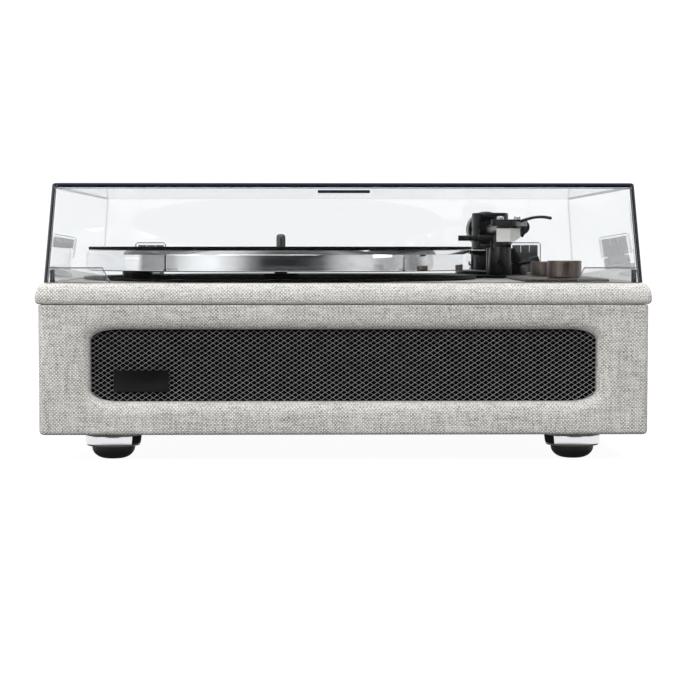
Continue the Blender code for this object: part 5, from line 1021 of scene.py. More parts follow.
bottom, top = (corner.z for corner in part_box("platter"))
under_disc = top - DISC_THICKNESS
belt_foot = bottom + BELT_RING_LIFT
chamfer_foot = top - CHAMFER_HEIGHT
chamfer_top = PLATTER_RADIUS - CHAMFER_WIDTH
profile = [
    (BORE_RADIUS, bottom),
    (PLATTER_HUB, bottom),
    (PLATTER_HUB, under_disc),
    (BELT_RING[0], under_disc),
    (BELT_RING[0], belt_foot),
    (BELT_RING[1], belt_foot),
    (BELT_RING[1], under_disc),
    (SKIRT_RADIUS, under_disc),
    (SKIRT_RADIUS, bottom),
    (PLATTER_RADIUS - LOWER_BEVEL, bottom),
    (PLATTER_RADIUS - BREAK, bottom + LOWER_BEVEL - BREAK),
    (PLATTER_RADIUS, bottom + LOWER_BEVEL),
    (PLATTER_RADIUS, chamfer_foot - BREAK),
    (PLATTER_RADIUS - BREAK * 0.4, chamfer_foot + BREAK * 0.6),
    (chamfer_top + BREAK * 0.5, top - BREAK),
    (chamfer_top - BREAK, top),
    (BORE_RADIUS, top),
]


def at_platter(profile, steps, closed=True):
    place = (PLATTER_CENTRE[0], PLATTER_CENTRE[1], 0)
    return aimed(turned_shape(profile, steps, closed), "+Z", place)


shape = at_platter(profile, PLATTER_STEPS)
standing_for(shape, "platter_turned", "platter_aluminium", "platter", smooth=20)
print("the platter is", round(2 * PLATTER_RADIUS / MM), "mm across")

# %% [markdown]
# A rubber mat with fine ridges lies on the platter. Its plain middle is sunk for a record's
# thicker label. A steel spindle with a round nose comes up through both; its colour is
# darkened to paint the dark room that it reflects.

# %% Turn the mat and the spindle
MAT_RADIUS = 148.3 * MM
LABEL_RADIUS = 50.0 * MM
LABEL_RECESS = 0.6 * MM
RIDGE_PITCH = 1.6 * MM
RIDGE_HEIGHT = 0.22 * MM
PLAIN_BORDER = 3.0 * MM
SPINDLE_RADIUS = 3.575 * MM
SPINDLE_NOSE = 2.4 * MM

bottom, top = (corner.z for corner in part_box("platter_mat"))
sunk = top - LABEL_RECESS
profile = [
    (BORE_RADIUS, bottom),
    (MAT_RADIUS - 0.2 * MM, bottom),
    (MAT_RADIUS, bottom + 0.2 * MM),
    (MAT_RADIUS, top - 0.4 * MM),
    (MAT_RADIUS - 0.12 * MM, top - 0.12 * MM),
    (MAT_RADIUS - 0.4 * MM, top),
]
ridges = int((MAT_RADIUS - LABEL_RADIUS - 2 * PLAIN_BORDER) / RIDGE_PITCH)
for i in range(ridges):
    radius = MAT_RADIUS - PLAIN_BORDER - i * RIDGE_PITCH
    for share, drop in ((0, 0), (0.25, RIDGE_HEIGHT), (0.5, RIDGE_HEIGHT), (0.75, 0)):
        profile.append((radius - RIDGE_PITCH * share, top - drop))
profile += [(LABEL_RADIUS + 0.5 * MM, top), (LABEL_RADIUS, sunk)]
profile += [(BORE_RADIUS + 0.3 * MM, sunk), (BORE_RADIUS, sunk - 0.3 * MM)]
standing_for(at_platter(profile, 160), "mat_ridged", "mat_rubber", "platter_mat", smooth=20)

bottom, top = (corner.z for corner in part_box("spindle"))
profile = [(0, bottom), (SPINDLE_RADIUS - 0.3 * MM, bottom), (SPINDLE_RADIUS, bottom + 0.3 * MM)]
for angle in quarter(12):
    z = top - SPINDLE_NOSE + SPINDLE_NOSE * sin(angle)
    profile.append((SPINDLE_RADIUS * cos(angle) ** 0.8, z))
shape = at_platter(profile, 48, closed=False)
standing_for(shape, "spindle_turned", "spindle_steel_painted_dark", "spindle", slot="steel")
print("the mat has", ridges, "ridges")

# %% [markdown]
# ## Deck and drive
#
# A satin black plate covers the lid under the platter and round the tonearm. The motor
# hangs in a hole at the left, and its little pulley drives the platter through a flat
# rubber belt. These CAD shapes are right as they are, so they only get their finishes,
# and the plate gets a small bevel.

# %% Finish the deck and the drive
softened("deck_plate", "deck_gloss", 0.4, 3)
for node, finish in (
    ("bearing_housing", "black_plastic"),
    ("motor", "black_plastic"),
    ("motor_pulley", "brass"),
    ("drive_belt", "belt_rubber"),
    ("volume_control", "steel"),
    ("selector_control", "steel"),
):
    keep(node, finish)
print("the deck and the drive have their finishes")

# %% [markdown]
# ## Feet
#
# Each foot is a chromed ring under a short dark neck, with a rubber dome below it that
# touches the floor. The neck sits in the shade, and the ring mirrors the pale floor painted
# in the room's light, the black cards that paint the shade under the cabinet, and the
# room's screens.

# %% Turn the feet
FOOT_RADIUS = 20.0 * MM
FOOT_TAPER = 0.4 * MM
FOOT_ROUNDING = 1.6 * MM
NECK_RADIUS = 17.0 * MM
NECK_HEIGHT = 1.7 * MM
PAD_RADIUS = 15.2 * MM
PAD_FLAT = 5.0 * MM
PAD_DOME = 0.92
for place in ("front_left", "front_right", "rear_left", "rear_right"):
    low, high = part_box(f"foot_ring_{place}")
    spot = ((low.x + high.x) / 2, (low.y + high.y) / 2, 0)
    ring_top = high.z - NECK_HEIGHT
    x, round_by = FOOT_RADIUS - FOOT_ROUNDING, FOOT_ROUNDING
    profile = [(0, low.z)]
    profile += arc_points(x - FOOT_TAPER, low.z + round_by, round_by, -pi / 2, 0, 6)
    profile += arc_points(x, ring_top - round_by, round_by, 0, pi / 2, 6)
    profile += [(NECK_RADIUS, ring_top), (NECK_RADIUS, high.z), (0, high.z)]
    shape = aimed(turned_shape(profile), "+Z", spot)
    standing_for(shape, f"foot_chrome_{place}", "chrome", f"foot_ring_{place}")
    low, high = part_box(f"foot_pad_{place}")
    profile = [(0, low.z), (PAD_FLAT, low.z)]
    for angle in quarter(12)[1:]:
        radius = PAD_FLAT + (PAD_RADIUS - PAD_FLAT) * sin(angle)
        profile.append((radius, low.z + (high.z - low.z) * PAD_DOME * (1 - cos(angle))))
    profile += [(PAD_RADIUS, high.z), (0, high.z)]
    shape = aimed(turned_shape(profile), "+Z", spot)
    standing_for(shape, f"foot_rubber_{place}", "foot_rubber", f"foot_pad_{place}")
print("four feet stand at", [round(value / MM) for value in spot[:2]])

# %% [markdown]
# ## Controls
#
# A dark bronze plate carries two knobs. Each knob is turned from brass and plated in the
# same bronze: its side shows fine upright lines, and its top is a shallow dark dish inside
# a bright rim. The button at the tonearm's side is a small satin post.

# %% Turn the knobs
KNOB_RADIUS = 12.4 * MM
KNOB_EDGE = 0.5 * MM
KNOB_RIM = 1.3 * MM
KNOB_DISH = 0.5 * MM
SHAFT_RADIUS = 2.8 * MM
SHAFT_LENGTH = 22.0 * MM
softened("control_plate", "bronze", 0.25)
for name in ("volume", "selector"):
    x, y, bottom = JOINT_AT[f"{name}_turn"]
    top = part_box(f"{name}_knob")[1].z
    dish = top - KNOB_DISH
    inside = KNOB_RADIUS - KNOB_RIM
    straight = KNOB_RADIUS - KNOB_EDGE
    profile = [(0, bottom - SHAFT_LENGTH), (SHAFT_RADIUS, bottom - SHAFT_LENGTH)]
    profile += [(SHAFT_RADIUS, bottom), (straight, bottom), (KNOB_RADIUS, bottom + KNOB_EDGE)]
    profile += arc_points(straight, top - KNOB_EDGE, KNOB_EDGE, 0, pi / 2, 5)
    profile += [(inside, top), (inside - KNOB_DISH, dish), (0, dish)]
    shape = aimed(turned_shape(profile), "+Z", (x, y, 0))
    standing_for(shape, f"{name}_knob_turned", "bronze_upright", f"{name}_knob", slot="bronze")
    radius = inside - KNOB_DISH - 0.15 * MM
    profile = [(0, dish), (radius, dish), (radius - 0.1 * MM, dish + 0.12 * MM)]
    profile += [(1.2 * MM, dish + 0.16 * MM), (0, dish + 0.1 * MM)]
    shape = aimed(turned_shape(profile), "+Z", (x, y, 0))
    face = mesh_object(f"{name}_knob_face", shape)
    dress(face, "arm_black", BODY_OF[f"{name}_knob"], slot="bronze")
softened("auto_stop_button", "post_grey", 0.5, 3, slot="steel")
print("two knobs and a button")

# %% [markdown]
# ## Tonearm: base, yoke and weights
#
# The tonearm is a balance. A turned column carries a yoke that swings sideways, and in the
# yoke's window a hub rocks up and down on a pin. A thin tube runs forward from the hub,
# and a heavy weight behind it balances the cartridge. Next to the weight a ribbed dial
# sets how hard the stylus presses. All of it is turned metal in satin black.

# %% Turn the base and the yoke
FLANGE_RADIUS = 29.0 * MM
FLANGE_THICKNESS = 2.5 * MM
COLUMN_RADIUS = 14.2 * MM
CAPITAL_RADIUS = 19.5 * MM
CAPITAL_HEIGHT = 3.7 * MM
CAPITAL_TAPER = 2.3 * MM
YOKE_RADIUS = 15.3 * MM
YOKE_FLOOR = 5.0 * MM
YOKE_ROOF = 3.6 * MM
YOKE_EDGE = 1.2 * MM
WINDOW_WIDTH = 19.0 * MM
YOKE_PIN_RADIUS = 4.0 * MM
YOKE_PIN_LENGTH = 12.0 * MM
YOKE_BELOW_AXIS = 17.3 * MM
GIMBAL_PIN_RADIUS = 1.5 * MM
PIN_SLOT = 0.5 * MM
DIAL_STEM = 2.3 * MM
SEAT_GAP = 0.3 * MM

low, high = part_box("arm_base")
hollow = YOKE_PIN_RADIUS + SEAT_GAP
hollow_floor = ARM_PIVOT.z - YOKE_BELOW_AXIS - YOKE_PIN_LENGTH - SEAT_GAP
flange_top = low.z + FLANGE_THICKNESS
neck = high.z - CAPITAL_HEIGHT
profile = [(0, low.z), (FLANGE_RADIUS - 0.3 * MM, low.z), (FLANGE_RADIUS, low.z + 0.3 * MM)]
profile += [(FLANGE_RADIUS, flange_top - 0.6 * MM), (FLANGE_RADIUS - 0.6 * MM, flange_top)]
profile += [(COLUMN_RADIUS + 0.8 * MM, flange_top), (COLUMN_RADIUS, flange_top + 0.8 * MM)]
profile += [(COLUMN_RADIUS, neck), (CAPITAL_RADIUS - CAPITAL_TAPER, neck)]
profile += [(CAPITAL_RADIUS, high.z - 0.5 * MM), (CAPITAL_RADIUS - 0.5 * MM, high.z)]
profile += [(hollow + 0.3 * MM, high.z), (hollow, high.z - 0.3 * MM)]
profile += [(hollow, hollow_floor), (0, hollow_floor)]
shape = aimed(turned_shape(profile), "+Z", (ARM_PIVOT.x, ARM_PIVOT.y, 0))
base = mesh_object("arm_base_turned", shape)
dial_spot = JOINT_AT["anti_skate_turn"]
stem_hole = rod(DIAL_STEM, -2.0 * MM, 1.0 * MM)
carve(base, aimed(stem_hole, "+Z", (dial_spot.x, dial_spot.y, flange_top)))
dress(base, "arm_black", "root", "arm_base")


def pin_hole(reach):
    """A hole right across for the pin that the hub rocks on."""
    return aimed(rod(GIMBAL_PIN_RADIUS + SEAT_GAP, -reach - OVERRUN, reach + OVERRUN), "+X")


bottom = -YOKE_BELOW_AXIS
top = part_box("arm_yoke")[1].z - ARM_PIVOT.z
straight = YOKE_RADIUS - YOKE_EDGE
profile = [(0, bottom - YOKE_PIN_LENGTH), (YOKE_PIN_RADIUS, bottom - YOKE_PIN_LENGTH)]
profile += [(YOKE_PIN_RADIUS, bottom), (straight, bottom), (YOKE_RADIUS, bottom + YOKE_EDGE)]
profile += arc_points(straight, top - YOKE_EDGE, YOKE_EDGE, 0, pi / 2, 5) + [(0, top)]
yoke = mesh_object("yoke_turned", turned_shape(profile))
x, y = WINDOW_WIDTH / 2, YOKE_RADIUS + OVERRUN
carve(yoke, box_shape((-x, -y, bottom + YOKE_FLOOR), (x, y, top - YOKE_ROOF)))
carve(yoke, pin_hole(YOKE_RADIUS))
yoke.data.transform(ARM_FRAME)
soften(yoke, 0.25, 2, 50)
dress(yoke, "arm_black", BODY_OF["arm_yoke"], "arm_yoke")

radius, worn = GIMBAL_PIN_RADIUS, GIMBAL_PIN_RADIUS * 0.8
profile = [(0, -straight), (worn, -straight), (radius, -straight + 0.3 * MM)]
profile += [(radius, straight - 0.3 * MM), (worn, straight), (0, straight - PIN_SLOT)]
shape = moved(aimed(turned_shape(profile, 32), "+X"), ARM_FRAME)
standing_for(shape, "gimbal_pin_turned", "steel", "gimbal_pin")
print("the base and the yoke are turned")

# %% [markdown]
# The hub, the dial and the weight lie along one line, so their profiles run along the arm:
# the first number of each point is a radius, the second a distance behind the pivot.

# %% Turn the hub, the dial and the weight
HUB_RADIUS = 8.4 * MM
HUB_HALF = 10.0 * MM
STUB_RADIUS = 4.0 * MM
TUBE_RADIUS = 4.75 * MM
TUBE_BORE = 3.9 * MM
DIAL_RADIUS = 12.5 * MM
DIAL_START = 19.0 * MM
DIAL_THICKNESS = 4.0 * MM
DIAL_RIBS = 40
WEIGHT_RADIUS = 15.5 * MM
WEIGHT_LENGTH = 19.5 * MM
WEIGHT_EDGE = 1.2 * MM
WEIGHT_BACK = 2.5 * MM
WEIGHT_GROOVE = 5.0 * MM
SOCKET_DEPTH = 5.5 * MM

dial_end = DIAL_START + DIAL_THICKNESS
weight_start = dial_end + SEAT_GAP
weight_end = weight_start + WEIGHT_LENGTH
bore = STUB_RADIUS + SEAT_GAP
bore_end = weight_end - WEIGHT_BACK
socket_floor = SOCKET_DEPTH - HUB_HALF
tube_seat = TUBE_RADIUS + SEAT_GAP
profile = [(0, bore_end - SEAT_GAP), (STUB_RADIUS, bore_end - SEAT_GAP), (STUB_RADIUS, HUB_HALF)]
profile += [(HUB_RADIUS - 0.5 * MM, HUB_HALF), (HUB_RADIUS, HUB_HALF - 0.5 * MM)]
profile += [(HUB_RADIUS, -HUB_HALF + 0.5 * MM), (HUB_RADIUS - 0.5 * MM, -HUB_HALF)]
profile += [(tube_seat, -HUB_HALF), (tube_seat, socket_floor), (0, socket_floor)]
hub = mesh_object("hub_turned", aimed(turned_shape(profile, 64), "+Y"))
carve(hub, pin_hole(HUB_RADIUS))
hub.data.transform(ARM_FRAME)
dress(hub, "arm_black", BODY_OF["gimbal_hub"], "gimbal_hub")


def ribbed(profile, ribs, edge, depth, closed=False):
    """A turned dial whose outermost points are pulled in to leave ribs."""
    shape = turned_shape(profile, ribs * 4, closed)
    for vert in shape.verts:
        reach = hypot(vert.co.x, vert.co.y)
        if reach > edge:
            turn = round((atan2(vert.co.y, vert.co.x) / (2 * pi)) * ribs * 4) % 4
            pull = 1 - depth / reach * (turn in (1, 2))
            vert.co.x *= pull
            vert.co.y *= pull
    return shape


radius = DIAL_RADIUS
profile = [(bore, DIAL_START), (radius - 0.5 * MM, DIAL_START), (radius, DIAL_START + 0.5 * MM)]
profile += [(radius, dial_end - 0.4 * MM), (radius - 0.4 * MM, dial_end), (bore, dial_end)]
dial = ribbed(profile, DIAL_RIBS, radius - 0.2 * MM, 0.25 * MM, closed=True)
shape = moved(aimed(dial, "+Y"), ARM_FRAME)
standing_for(shape, "force_dial_ribbed", "arm_black", "force_dial", smooth=25)

radius, groove = WEIGHT_RADIUS, weight_end - WEIGHT_GROOVE
sunk = radius - 0.35 * MM
straight = radius - WEIGHT_EDGE
profile = [(0, bore_end), (bore, bore_end), (bore, weight_start + 0.4 * MM)]
profile += [(bore + 0.4 * MM, weight_start)]
profile += arc_points(straight, weight_start + WEIGHT_EDGE, WEIGHT_EDGE, -pi / 2, 0, 5)
profile += [(radius, groove - 0.5 * MM), (sunk, groove - 0.2 * MM)]
profile += [(sunk, groove + 0.2 * MM), (radius, groove + 0.5 * MM)]
profile += arc_points(straight, weight_end - WEIGHT_EDGE, WEIGHT_EDGE, 0, pi / 2, 5)
profile += [(0, weight_end)]
shape = moved(aimed(turned_shape(profile), "+Y"), ARM_FRAME)
standing_for(shape, "counterweight_turned", "arm_black", "counterweight")
print("the weight ends", round(weight_end / MM, 1), "mm behind the pivot")

# %% [markdown]
# ## Tonearm: tube, headshell and cartridge
#
# The tube is drawn grey aluminium. At its end a collar turns the headshell inwards, so the
# stylus stays nearly parallel to the groove. The headshell is a flat black plate that
# narrows to a neck. It has a frame of its own too, turned by 24 degrees, whose origin is
# the bend and whose plate runs along -Y.

# %% Make the tube and the headshell
HEADSHELL_TURN = radians(-24.0)
HEADSHELL_LENGTH = 50.0 * MM
HEADSHELL_WIDTH = 18.4 * MM
HEADSHELL_NECK = 11.0 * MM
HEADSHELL_BOTTOM = 0.4 * MM
HEADSHELL_TOP = 5.0 * MM
STYLUS_SETBACK = 8.0 * MM
EFFECTIVE_LENGTH = 221.0 * MM
COLLAR_RADIUS = 6.4 * MM
COLLAR_SHOWN = 5.5 * MM
COLLAR_LENGTH = 16.0 * MM
COLLAR_SOCKET = 8.0 * MM
SLOT_SPACING = 12.7 * MM
SLOT_WIDTH = 2.6 * MM
SLOT_LENGTH = 9.0 * MM
SCREW_SETBACK = 17.0 * MM

stylus_y = HEADSHELL_LENGTH - STYLUS_SETBACK
aside = stylus_y * sin(HEADSHELL_TURN)
bend = sqrt(EFFECTIVE_LENGTH**2 - aside**2) - stylus_y * cos(HEADSHELL_TURN)
turn = Matrix.Rotation(HEADSHELL_TURN, 4, "Z")
HEAD_FRAME = ARM_FRAME @ Matrix.Translation((0, -bend, 0)) @ turn
collar_back = COLLAR_RADIUS - COLLAR_LENGTH
socket_end = bend + collar_back + COLLAR_SOCKET
start, end = SEAT_GAP - socket_floor, socket_end - SEAT_GAP
profile = [(TUBE_BORE, start), (TUBE_RADIUS, start), (TUBE_RADIUS, end), (TUBE_BORE, end)]
shape = moved(aimed(turned_shape(profile, 64, closed=True), "-Y"), ARM_FRAME)
standing_for(shape, "arm_tube_drawn", "arm_tube", "arm_tube")


def hang(piece, finish, node, bevel=None, stands=True):
    """Bevel a piece made in the headshell's frame, put it in place and dress it."""
    if bevel:
        soften(piece, *bevel)
    piece.data.transform(HEAD_FRAME)
    dress(piece, finish, BODY_OF[node], *([node] if stands else []))


half, neck = HEADSHELL_WIDTH / 2, HEADSHELL_NECK / 2
nose = half * 0.5
front = -HEADSHELL_LENGTH
shoulder = -COLLAR_RADIUS - half
flank = [(half, shoulder - 0.6 * MM), (half - 0.6 * MM, shoulder + 0.9 * MM)]
flank += [(neck, -COLLAR_RADIUS), (neck, -COLLAR_RADIUS / 2)]
outline = [(-x, y) for x, y in flank[::-1]]
outline += arc_points(nose - half, front + nose, nose, pi, 3 * pi / 2, 8)
outline += arc_points(half - nose, front + nose, nose, 3 * pi / 2, 2 * pi, 8)
outline += flank
shape = plate_shape(outline, HEADSHELL_BOTTOM, HEADSHELL_TOP)
headshell = mesh_object("headshell_plate", shape)
shown = COLLAR_SHOWN
profile = [(0, COLLAR_RADIUS), (shown - 0.4 * MM, COLLAR_RADIUS)]
profile += [(shown, COLLAR_RADIUS - 0.4 * MM), (shown, collar_back + 0.2 * MM)]
profile += [(shown - 0.2 * MM, collar_back), (tube_seat, collar_back)]
profile += [(tube_seat, socket_end - bend), (0, socket_end - bend)]
collar = moved(aimed(turned_shape(profile, 64), "-Y"), turn.inverted())
carve(headshell, collar, "UNION")
for side in (-1, 1):
    x, y = side * SLOT_SPACING / 2, front + SCREW_SETBACK
    outline = rounded_box(SLOT_WIDTH, SLOT_LENGTH, SLOT_WIDTH / 2, steps=6)
    outline = [(x + a, y + b) for a, b in outline]
    carve(headshell, plate_shape(outline, HEADSHELL_BOTTOM - OVERRUN, HEADSHELL_TOP + OVERRUN))
hang(headshell, "arm_black", "headshell", (0.45, 3, 40))
print("the headshell bends away", round(bend / MM, 1), "mm in front of the pivot")

# %% [markdown]
# A cream cartridge hangs under the headshell by a dark mounting block with two lugs, and
# two silver screws hold it from above. A seam runs along each of its sides, its tail rises,
# and the holder of the stylus is a small block of its own under it.

# %% Make the cartridge and what holds it
CARTRIDGE_SETBACK = 3.5 * MM
CARTRIDGE_WIDTH = 10.4 * MM
CARTRIDGE_LENGTH = 26.0 * MM
CARTRIDGE_HEIGHT = 9.4 * MM
TAIL_RISE = 3.2 * MM
SEAM_WIDTH = 0.22 * MM
EAR_WIDTH = 17.0 * MM
EAR_LENGTH = 9.0 * MM
EAR_SETBACK = 9.0 * MM
EAR_THICKNESS = 1.6 * MM
EAR_CORNER = 1.8 * MM
HOLDER_SIZE = (6.0 * MM, 9.0 * MM, 1.3 * MM)
TIP_DROP = 1.0 * MM
SCREW_RADIUS = 2.5 * MM
SCREW_HEIGHT = 2.3 * MM

ear_top = HEADSHELL_BOTTOM - SEAT_GAP
ear_bottom = ear_top - EAR_THICKNESS
cartridge_bottom = ear_bottom - CARTRIDGE_HEIGHT
nose_y = front + CARTRIDGE_SETBACK
tail_y = nose_y + CARTRIDGE_LENGTH
half_body = CARTRIDGE_WIDTH / 2
shape = box_shape((-half_body, nose_y, cartridge_bottom), (half_body, tail_y, ear_bottom + 0.2 * MM))
cartridge = mesh_object("cartridge_body", shape)
below = cartridge_bottom - OVERRUN / 4
wedge = [(nose_y + CARTRIDGE_LENGTH * 0.3, below), (tail_y + OVERRUN, below)]
wedge.append((tail_y + OVERRUN, cartridge_bottom + TAIL_RISE))
sides = (-CARTRIDGE_WIDTH, CARTRIDGE_WIDTH)
carve(cartridge, skin_shape([[(x, y, z) for y, z in wedge] for x in sides]))
seam = cartridge_bottom + CARTRIDGE_HEIGHT * 0.34
for side in (-1, 1):
    cuts = sorted((side * (half_body - SEAM_WIDTH), side * (half_body + 0.1 * MM)))
    low = (cuts[0], nose_y - OVERRUN, seam - SEAM_WIDTH / 2)
    carve(cartridge, box_shape(low, (cuts[1], tail_y + OVERRUN, seam + SEAM_WIDTH / 2)))
hang(cartridge, "cartridge_cream", "cartridge", (0.4, 3, 50))

ear_y = nose_y + EAR_SETBACK + EAR_LENGTH / 2
ear = [(x, ear_y + y) for x, y in rounded_box(EAR_WIDTH, EAR_LENGTH, EAR_CORNER, steps=6)]
ear_foot = ear_bottom + 0.25 * MM
mount = mesh_object("cartridge_mount", plate_shape(ear, ear_foot, ear_top))
x = half_body - 0.3 * MM
spine = box_shape((-x, nose_y + 0.4 * MM, ear_foot), (x, tail_y - 0.4 * MM, ear_top))
carve(mount, spine, "UNION")
hang(mount, "black_plastic", "cartridge", (0.25, 2, 50), stands=False)

width, length, height = HOLDER_SIZE
holder_top = cartridge_bottom - SEAT_GAP
holder_bottom = holder_top - height
holder_y = -stylus_y - 0.5 * MM
low = (-width / 2, holder_y, holder_bottom)
holder = mesh_object("stylus_holder", box_shape(low, (width / 2, holder_y + length, holder_top)))
tip = [(0, holder_bottom + 0.2 * MM), (0.5 * MM, holder_bottom + 0.2 * MM)]
tip += [(0.12 * MM, holder_bottom - TIP_DROP * 0.8), (0, holder_bottom - TIP_DROP)]
carve(holder, aimed(turned_shape(tip, 24), "+Z", (0, 0.25 * MM - stylus_y, 0)), "UNION")
hang(holder, "black_plastic", "stylus", (0.25, 2, 40))

screw_foot = HEADSHELL_TOP + 0.1 * MM
screw_top = screw_foot + SCREW_HEIGHT
places = [(side * SLOT_SPACING / 2, front + SCREW_SETBACK) for side in (-1, 1)]
profile = [(0, ear_bottom), (1.1 * MM, ear_bottom), (1.1 * MM, screw_foot)]
profile += [(SCREW_RADIUS, screw_foot), (SCREW_RADIUS, screw_top - 0.35 * MM)]
profile += [(SCREW_RADIUS - 0.35 * MM, screw_top), (0, screw_top)]
screws = [aimed(turned_shape(profile, 40), "+Z", (x, y, 0)) for x, y in places]
screws = mesh_object("cartridge_screws", merged(screws))
for x, y in places:
    low = (x - 0.3 * MM, y - 3 * MM, screw_top - 0.6 * MM)
    carve(screws, box_shape(low, (x + 0.3 * MM, y + 3 * MM, screw_top + OVERRUN)))
hang(screws, "steel", "cartridge", stands=False)
print("the cartridge hangs by two screws")

# %% [markdown]
# Four thin wires in the usual colours join the cartridge to the tube, and a bent finger
# lift sticks out at the outer side. A round bar is a row of rings along a line of points,
# and a smooth path puts more points between a few given ones.

# %% Bend the wires and the finger lift
def round_bar(path, radii, steps=12, ends=3):
    """A round bar along a line of points, with a radius for each and domed ends."""
    points = [Vector(point) for point in path]
    radii = [radii] * len(points) if isinstance(radii, float) else list(radii)
    first, last = (points[1] - points[0]).normalized(), (points[-1] - points[-2]).normalized()
    starts, stops, middle = [], [], []
    for i in range(ends):
        angle = pi / 2 * (i + 0.25) / ends
        starts.append((points[0] - first * radii[0] * cos(angle), radii[0] * sin(angle), first))
        stops.append((points[-1] + last * radii[-1] * cos(angle), radii[-1] * sin(angle), last))
    for i, point in enumerate(points):
        before, after = points[max(i - 1, 0)], points[min(i + 1, len(points) - 1)]
        middle.append((point, radii[i], (after - before).normalized()))
    rings = []
    side = first.orthogonal().normalized()
    turns = [2 * pi * i / steps for i in range(steps)]
    for point, radius, along in starts + middle + stops[::-1]:
        side = (side - along * side.dot(along)).normalized()
        other = along.cross(side)
        rings.append([point + side * radius * cos(a) + other * radius * sin(a) for a in turns])
    return skin_shape(rings)


def smooth_path(points, steps=6):
    """A smooth curve through a few points."""
    points = [Vector(point) for point in points]
    padded = [2 * points[0] - points[1]] + points + [2 * points[-1] - points[-2]]
    path = []
    for a, b, c, d in zip(padded, padded[1:], padded[2:], padded[3:]):
        for i in range(steps):
            t = i / steps
            bent = (2 * a - 5 * b + 4 * c - d) * t**2 + (3 * b - 3 * c + d - a) * t**3
            path.append(0.5 * (2 * b + (c - a) * t + bent))
    return path + [points[-1]]


WIRE_RADIUS = 0.35 * MM
WIRE_PITCH = 2.2 * MM
WIRE_COLOURS = {
    "wire_red": (0.45, 0.02, 0.02),
    "wire_white": (0.65, 0.64, 0.60),
    "wire_green": (0.02, 0.20, 0.06),
    "wire_blue": (0.02, 0.06, 0.32),
}
for i, (name, colour) in enumerate(WIRE_COLOURS.items()):
    grained(name, colour, 0.45, 0.4, 0.004)
    x = (i - 1.5) * WIRE_PITCH
    z = cartridge_bottom + CARTRIDGE_HEIGHT * (0.35 if i % 2 else 0.62)
    route = [
        (x, tail_y - 0.2 * MM, z),
        (x, tail_y + 2.4 * MM, z + 0.2 * MM),
        (x * 1.1, tail_y + 7.0 * MM, z + 1.6 * MM),
        (x * 0.8, tail_y + 13.0 * MM, HEADSHELL_BOTTOM - 2.2 * MM),
        (x * 0.6, -COLLAR_RADIUS - 4.0 * MM, HEADSHELL_BOTTOM - 1.3 * MM),
        (x * 0.5, -COLLAR_RADIUS + 0.5 * MM, HEADSHELL_BOTTOM - 0.8 * MM),
    ]
    wire = moved(round_bar(smooth_path(route), WIRE_RADIUS, 10), HEAD_FRAME)
    wire = mesh_object(f"cartridge_{name}", wire)
    dress(wire, name, BODY_OF["cartridge"], slot="black_plastic")

LIFT_RADIUS = 1.1 * MM
LIFT_SETBACK = 16.0 * MM
LIFT_REACH = 22.6 * MM
LIFT_RISE = 3.0 * MM
path, radii = [], []
for i in range(25):
    share = i / 24
    x = half + 0.1 * MM + (LIFT_REACH - 0.6 * MM) * share
    z = HEADSHELL_TOP - LIFT_RADIUS + LIFT_RISE * sin(3 * pi / 4 * share)
    path.append((x, LIFT_SETBACK - HEADSHELL_LENGTH, z))
    radii.append(LIFT_RADIUS * (0.92 + 0.08 * abs(2 * share - 1)))
shape = moved(round_bar(path, radii, 16, 4), HEAD_FRAME)
standing_for(shape, "finger_lift_bent", "arm_black", "finger_lift")
print("four wires and the finger lift")

# %% [markdown]
# ## Cueing lift, arm rest and small dial
#
# A lever at the arm's side turns a small shaft in a bearing block. The shaft raises a
# plunger with a curved platform on it, which lifts the tube anywhere over the record. In
# front of it stands the arm rest: a short tapered column with a cradle, an upright post
# and a clip that swings over the parked tube. These shapes come from the CAD model with
# softer edges. The anti-skating dial is drawn anew, with ribs and a line across its top.

# %% Make the lift, the rest and the small dial
SMALL_RIBS = 28
STEM_RADIUS = 2.0 * MM
STEM_LENGTH = 1.6 * MM
POINTER_WIDTH = 0.7 * MM
POINTER_DEPTH = 0.4 * MM
for node, width, steps in (
    ("cue_housing", 0.5, 3),
    ("cue_platform", 0.35, 2),
    ("cue_lever", 0.3, 2),
    ("arm_rest", 0.35, 2),
    ("arm_clip", 0.3, 2),
):
    softened(node, "arm_black", width, steps)
low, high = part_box("anti_skate_dial")
radius = (high.x - low.x) / 2
height = high.z - dial_spot.z
profile = [(0, -STEM_LENGTH), (STEM_RADIUS, -STEM_LENGTH), (STEM_RADIUS, 0)]
profile += [(radius - 0.3 * MM, 0), (radius, 0.3 * MM)]
profile += [(radius, height - 0.6 * MM), (radius - 0.6 * MM, height), (0, height)]
dial = ribbed(profile, SMALL_RIBS, radius - 0.1 * MM, 0.22 * MM)
dial = mesh_object("anti_skate_ribbed", aimed(dial, "+Z", dial_spot))
x, y, z = dial_spot
low = (x - POINTER_WIDTH / 2, y - radius - OVERRUN, z + height - POINTER_DEPTH)
carve(dial, box_shape(low, (x + POINTER_WIDTH / 2, y - 1.0 * MM, z + height + OVERRUN)))
dress(dial, "arm_black", BODY_OF["anti_skate_dial"], "anti_skate_dial", smooth=25)
print("the lift, the rest, the clip and the dial")

# %% [markdown]
# ## Dust cover
#
# The cover is moulded from clear acrylic in one thin shell. Its walls lean inwards by a
# few degrees, so it comes off the mould, and all its corners are rounded. Light caught
# inside the sheet leaves the rounded edges and the cut rim dark, and that darkness is
# painted on those faces as a tint: painted shade, dark in front and a paler grey behind,
# where the edges are seen through the front pane.

